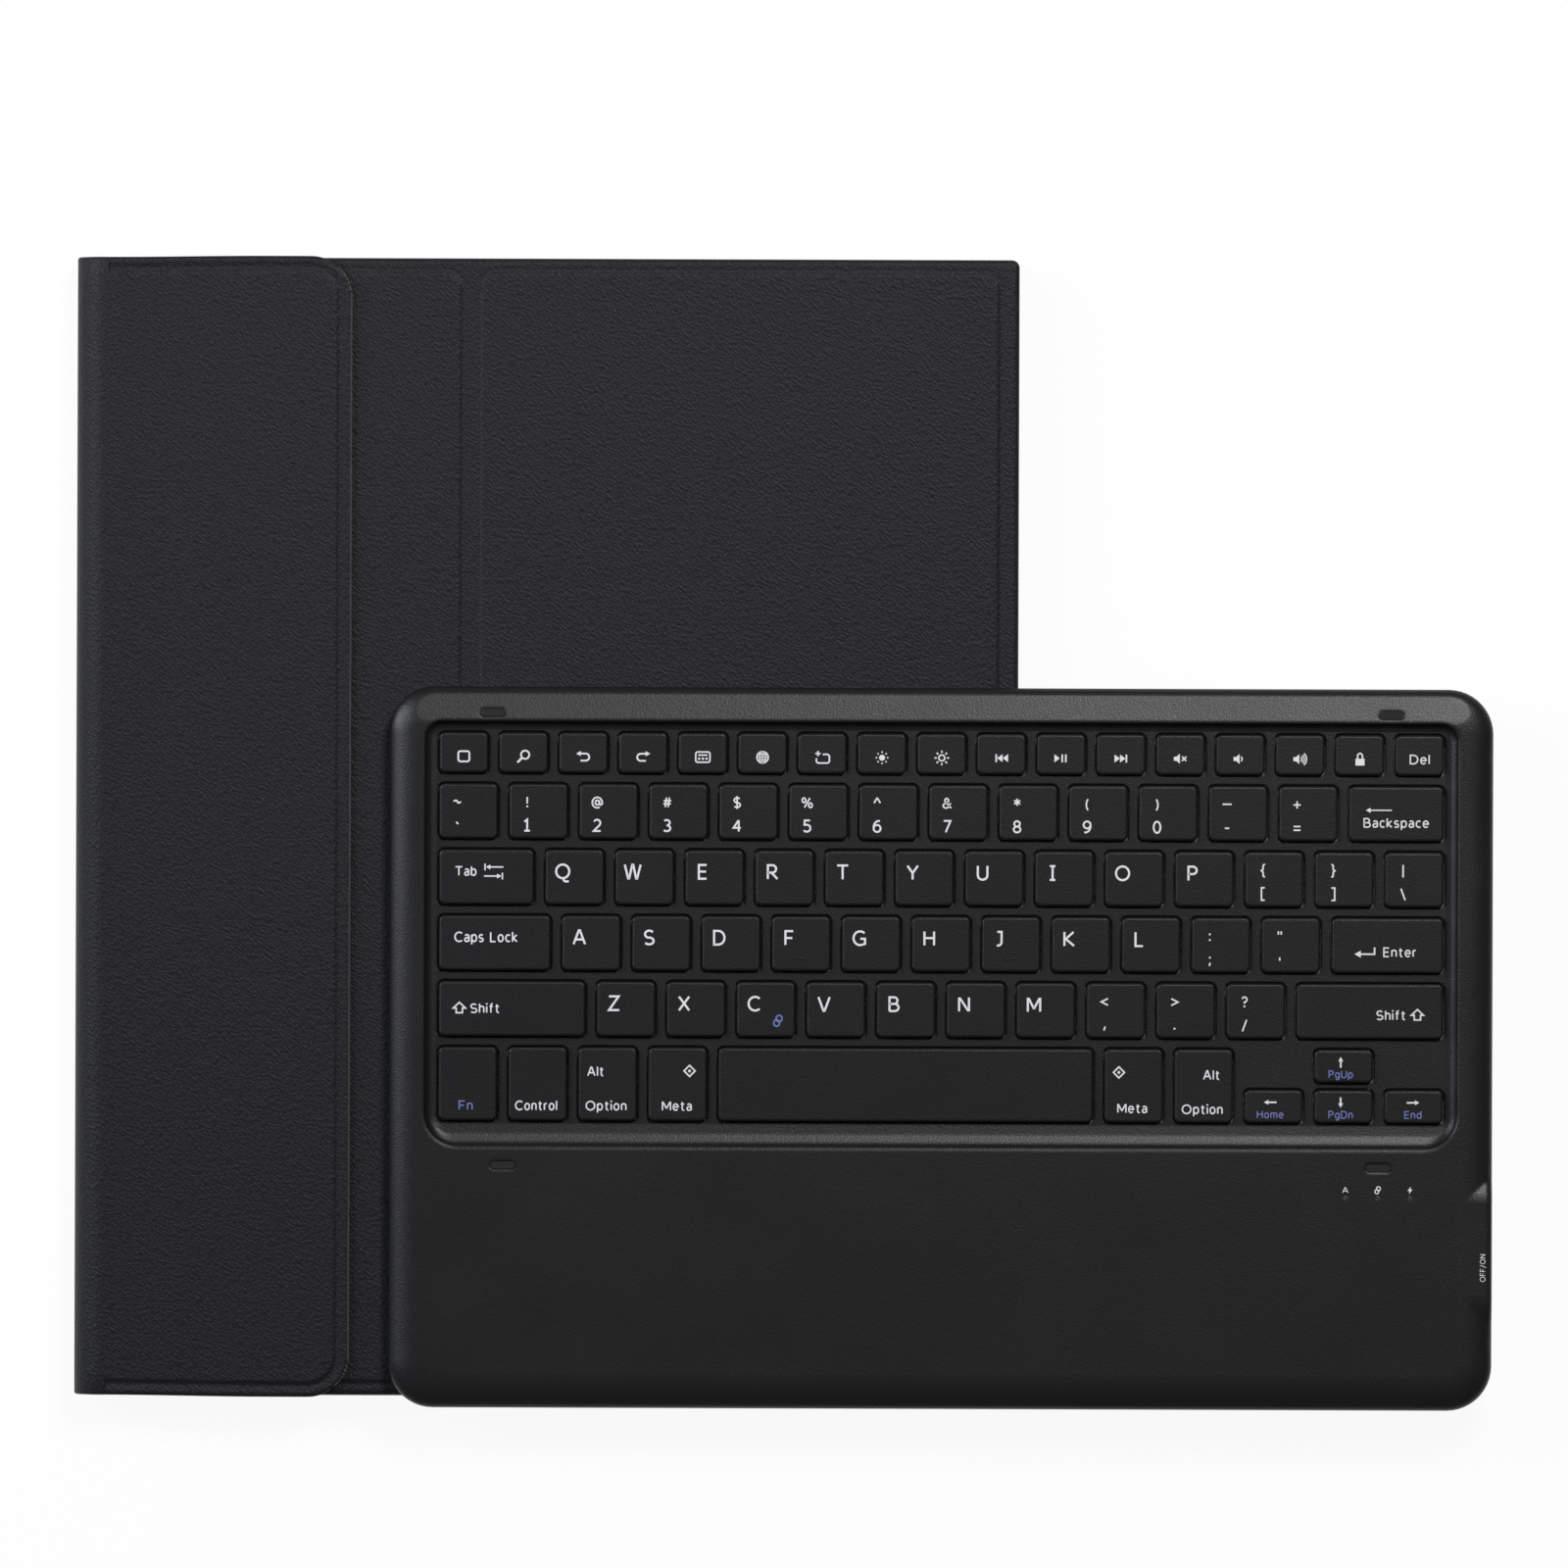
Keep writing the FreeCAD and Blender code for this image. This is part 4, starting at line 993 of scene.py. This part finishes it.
def put(body, face, dx, dy, shapes, color="white"):
    x0, x1, y0, y1, z = face
    store(body, color, z, moved(shapes, x0 - RIM_SHARE + dx, y1 + RIM_SHARE - dy))


def letter_row(node, letters):
    """One printed sign for a letter, two for a key with a shifted sign above its plain one."""
    for face, signs in zip(key_faces(node), letters.split()):
        if len(signs) == 1:
            put(node, face, LETTER_DX, LETTER_DY, lettering(signs, LETTER_CAP))
            continue
        lower_cap = DIGIT_CAP if signs[1].isdigit() else SIGN_CAP
        put(node, face, SIGN_DX, SIGN_DY, lettering(signs[0], SIGN_CAP, weight=WORD_WEIGHT))
        put(node, face, SIGN_DX, DIGIT_DY, lettering(signs[1], lower_cap, weight=WORD_WEIGHT))


def write(node, text, width, dx, dy, color="white", cap=WORD_CAP):
    put(node, key_faces(node)[0], dx, dy, lettering(text, cap, width, WORD_WEIGHT), color)


def icon_row(node, icons):
    for face, shapes in zip(key_faces(node), icons):
        middle_x = (face[1] - face[0]) / 2 + RIM_SHARE
        middle_y = (face[3] - face[2]) / 2 + RIM_SHARE
        put(node, face, middle_x, middle_y + ICON_DROP, shapes)


def key_legends():
    icon_row("system_keys", [home_icon, search_icon, undo_icon, redo_icon, panel_icon(), globe_icon(),
                             new_window_icon])
    icon_row("brightness_keys", [lamp_icon(0.75, 1.25, 1.6, False), lamp_icon(0.75, 1.3, 1.85, True)])
    icon_row("media_keys", [previous_icon, play_icon, next_icon])
    icon_row("volume_keys", [mute_icon, volume_icon(1), volume_icon(3)])
    icon_row("lock_key", [padlock_icon])
    icon_row("delete_key", [lettering("Del", WORD_CAP, 5.1, WORD_WEIGHT)])
    letter_row("number_keys", "~` !1 @2 #3 $4 %5 ^6 &7 *8 (9 )0 _- +=")
    letter_row("upper_letter_keys", "Q W E R T Y U I O P {[ }] |\\")
    letter_row("home_letter_keys", "A S D F G H J K L :; \"'")
    letter_row("lower_letter_keys", "Z X C V B N M <, >. ?/")
    put("lower_letter_keys", key_faces("lower_letter_keys")[2], 10.2, 9.6, link_icon(2.6), "blue")
    write("backspace_key", "Backspace", 16.6, 11.7, 9.0)
    write("tab_key", "Tab", 5.5, 6.5, 5.3)
    write("caps_lock_key", "Caps Lock", 16.1, 11.7, 5.3, cap=2.7)
    write("enter_key", "Enter", 8.4, 17.0, 8.4)
    write("left_shift_key", "Shift", 7.4, 11.5, 6.7)
    write("right_shift_key", "Shift", 7.4, 23.7, 7.7)
    write("fn_key", "Fn", 3.6, 6.7, 14.6, "blue")
    write("control_key", "Control", 10.7, 6.8, 14.6)
    write("left_alt_key", "Alt", 4.2, 4.1, 5.9)
    write("left_alt_key", "Option", 10.4, 6.8, 14.6)
    write("left_meta_key", "Meta", 7.6, 7.0, 14.6)
    write("right_meta_key", "Meta", 7.6, 6.8, 14.8)
    write("right_alt_key", "Alt", 4.2, 9.1, 6.3)
    write("right_alt_key", "Option", 10.4, 6.8, 15.0)
    write("arrow_left_key", "Home", 6.8, 6.3, 6.0, "blue", cap=SMALL_CAP)
    write("arrow_up_key", "PgUp", 6.2, 6.4, 6.0, "blue", cap=SMALL_CAP)
    write("arrow_down_key", "PgDn", 6.2, 6.4, 6.0, "blue", cap=SMALL_CAP)
    write("arrow_right_key", "End", 4.4, 7.0, 6.0, "blue", cap=SMALL_CAP)
    pictures = (
        ("backspace_key", arrow([(3.3, 0), (-3.3, 0)], 1.2, 0.3), 7.3, 5.8),
        ("tab_key", tab_icon, 13.6, 5.4),
        ("enter_key", enter_icon, 8.1, 8.4),
        ("left_shift_key", shift_icon, 5.0, 6.6),
        ("right_shift_key", shift_icon, 30.4, 7.6),
        ("left_meta_key", diamond_icon, 10.2, 5.7),
        ("right_meta_key", diamond_icon, 3.4, 5.7),
        ("arrow_left_key", arrow([(1.6, 0), (-1.6, 0)], 1.1, 0.42), 6.3, 2.9),
        ("arrow_up_key", arrow([(0, -1.4), (0, 1.3)], 1.1, 0.42), 6.4, 2.9),
        ("arrow_down_key", arrow([(0, 1.3), (0, -1.3)], 1.1, 0.42), 6.4, 2.9),
        ("arrow_right_key", arrow([(-1.6, 0), (1.6, 0)], 1.1, 0.42), 7.0, 2.9),
    )
    for node, shapes, dx, dy in pictures:
        put(node, key_faces(node)[0], dx, dy, shapes)


def homing_bars():
    """A short raised bar on the keys under the two forefingers."""
    home = key_faces("home_letter_keys")
    reach, half, from_left, from_front, straight = 1.7, 0.25, 6.8, 3.0, 0.01
    # Heights over the key, and how far the outline has drawn in there
    profile = ((-0.05, 0.0), (0.14, 0.06), (0.2, 0.16))
    for key, name in ((3, "homing_bar_left"), (6, "homing_bar_right")):
        x0, x1, y0, y1, z = home[key]
        cx, cy = x0 - RIM_SHARE + from_left, y0 - RIM_SHARE + from_front
        points = []
        for rise, shrink in profile:
            half_x, half_y = reach - shrink, half - shrink
            loop = rounded_points(cx - half_x, cx + half_x, cy - half_y, cy + half_y, half_y - straight)
            points += [(x, y, z + rise) for x, y in loop]
        wide = len(points) // len(profile)
        faces = [list(range(wide))[::-1], list(range(2 * wide, 3 * wide))]
        faces += [[a + k, a + (k + 1) % wide, a + wide + (k + 1) % wide, a + wide + k]
                  for a in (0, wide) for k in range(wide)]
        piece = make_piece(name, points, faces, [key_plastic])
        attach(piece, "home_letter_keys")


def palm_prints():
    """The signs beside the three indicator lamps and along the power switch."""
    low, high = cad("indicator_lenses")
    radius = (high.y - low.y) / 2
    icon_rise = 1.6
    y = (low.y + high.y) / 2 + icon_rise
    signs = ((low.x + radius, lettering("A", cap=1.5, width=1.5)), ((low.x + high.x) / 2, link_icon(1.7)),
             (high.x - radius, bolt_icon))
    for x, shapes in signs:
        store("keyboard", "white", case_top, moved(shapes, x, y))
    knob_low, knob_high = cad("power_switch_knob")
    inset, boss_drop = 2.4, 0.1
    across = lettering("OFF/ON", cap=1.4, width=7.0, weight=0.11)
    upright = [[[(-y, x) for x, y in loop] for loop in shape] for shape in across]
    store("keyboard", "white", case_top - boss_drop,
          moved(upright, case_high.x - inset, (knob_low.y + knob_high.y) / 2))


def print_pieces():
    """Each sign becomes a thin closed layer of ink that starts just under the surface it is printed on."""
    colors = {"white": white_print, "blue": blue_print}
    for (body, color), loops in prints.items():
        points = []
        faces = []
        for loop in loops:
            faces.append(list(range(len(points), len(points) + len(loop))))
            points += loop
        piece = make_piece(body + "_print_" + color, points, faces, [colors[color]])
        shape = bmesh.new()
        shape.from_mesh(piece.data)
        for face in shape.faces:
            if face.normal.z < 0:
                face.normal_flip()
        bmesh.ops.remove_doubles(shape, verts=shape.verts, dist=LEVEL_STEP * MM / 4)
        upper = list(shape.faces)
        copied = bmesh.ops.duplicate(shape, geom=upper)["geom"]
        under = [item for item in copied if isinstance(item, bmesh.types.BMFace)]
        sides = bmesh.ops.extrude_face_region(shape, geom=under)["geom"]
        bmesh.ops.delete(shape, geom=upper, context="FACES_ONLY")
        for item in sides:
            if isinstance(item, bmesh.types.BMVert):
                item.co.z -= PRINT_DEPTH * MM
        loose = [vertex for vertex in shape.verts if not vertex.link_faces]
        bmesh.ops.delete(shape, geom=loose, context="VERTS")
        bmesh.ops.recalc_face_normals(shape, faces=shape.faces)
        for face in shape.faces:
            face.smooth = False
        shape.to_mesh(piece.data)
        shape.free()
        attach(piece, body)


key_legends()
homing_bars()
palm_prints()
print_pieces()


# Stage: a white floor that keeps the object's shadow, soft light and an overhead camera
def make_floor():
    half, drop, whiteness = 6.0, 0.0002, 0.93
    mesh = bpy.data.meshes.new("floor")
    corners = [(-half, -half, 0), (half, -half, 0), (half, half, 0), (-half, half, 0)]
    mesh.from_pydata(corners, [], [(0, 1, 2, 3)])
    floor = bpy.data.objects.new("floor", mesh)
    floor.location.z = -drop
    bpy.context.scene.collection.objects.link(floor)
    material = bpy.data.materials.new("white_floor")
    material.use_nodes = True
    tree = material.node_tree
    tree.nodes.remove(tree.nodes["Principled BSDF"])
    paths = add_node(material, "ShaderNodeLightPath", {}).outputs
    either = math_node(material, "MAXIMUM", paths["Is Camera Ray"], paths["Is Glossy Ray"])
    seen = math_node(material, "MAXIMUM", either, paths["Is Transmission Ray"])
    share = math_node(material, "MULTIPLY", seen, whiteness)
    diffuse = add_node(material, "ShaderNodeBsdfDiffuse", {"Color": (0.92, 0.92, 0.92, 1)})
    glow = add_node(material, "ShaderNodeEmission", {"Color": (1, 1, 1, 1), "Strength": 1.0})
    mix = add_node(material, "ShaderNodeMixShader", {0: share, 1: diffuse.outputs[0], 2: glow.outputs[0]})
    tree.links.new(mix.outputs[0], tree.nodes["Material Output"].inputs["Surface"])
    mesh.materials.append(material)


def add_light(name, location, target, size, energy, color):
    light = bpy.data.lights.new(name, "AREA")
    light.shape = "RECTANGLE"
    light.size, light.size_y = size
    light.energy = energy
    light.color = color
    lamp = bpy.data.objects.new(name, light)
    lamp.location = location
    lamp.rotation_euler = (Vector(target) - Vector(location)).to_track_quat("-Z", "Y").to_euler()
    bpy.context.scene.collection.objects.link(lamp)


def make_world():
    world = bpy.data.worlds.new("studio")
    world.use_nodes = True
    background = world.node_tree.nodes["Background"]
    background.inputs["Color"].default_value = (1, 1, 1, 1)
    background.inputs["Strength"].default_value = 0.12
    bpy.context.scene.world = world


def make_camera():
    data = bpy.data.cameras.new("camera")
    data.sensor_width = 36.0
    data.lens = 400.0
    camera = bpy.data.objects.new("camera", data)
    frame_width, middle, key_level, roll = 0.398, (0.0603, 0.0112), 0.018, math.radians(0.2)
    height = key_level + frame_width / data.sensor_width * data.lens
    camera.location = (*middle, height)
    camera.rotation_euler = (0, 0, roll)
    bpy.context.scene.collection.objects.link(camera)
    bpy.context.scene.camera = camera


make_floor()
make_world()
add_light("rear_soft", location=(0.42, 0.7, 1.28), target=(0.08, 0, 0), size=(0.35, 0.4), energy=14,
          color=(1.0, 0.985, 0.965))
add_light("left_soft", location=(-1.0, 0.4, 0.75), target=(0, 0, 0), size=(0.5, 1.0), energy=14,
          color=(0.88, 0.93, 1.0))
make_camera()
bpy.context.scene.view_settings.view_transform = "Standard"
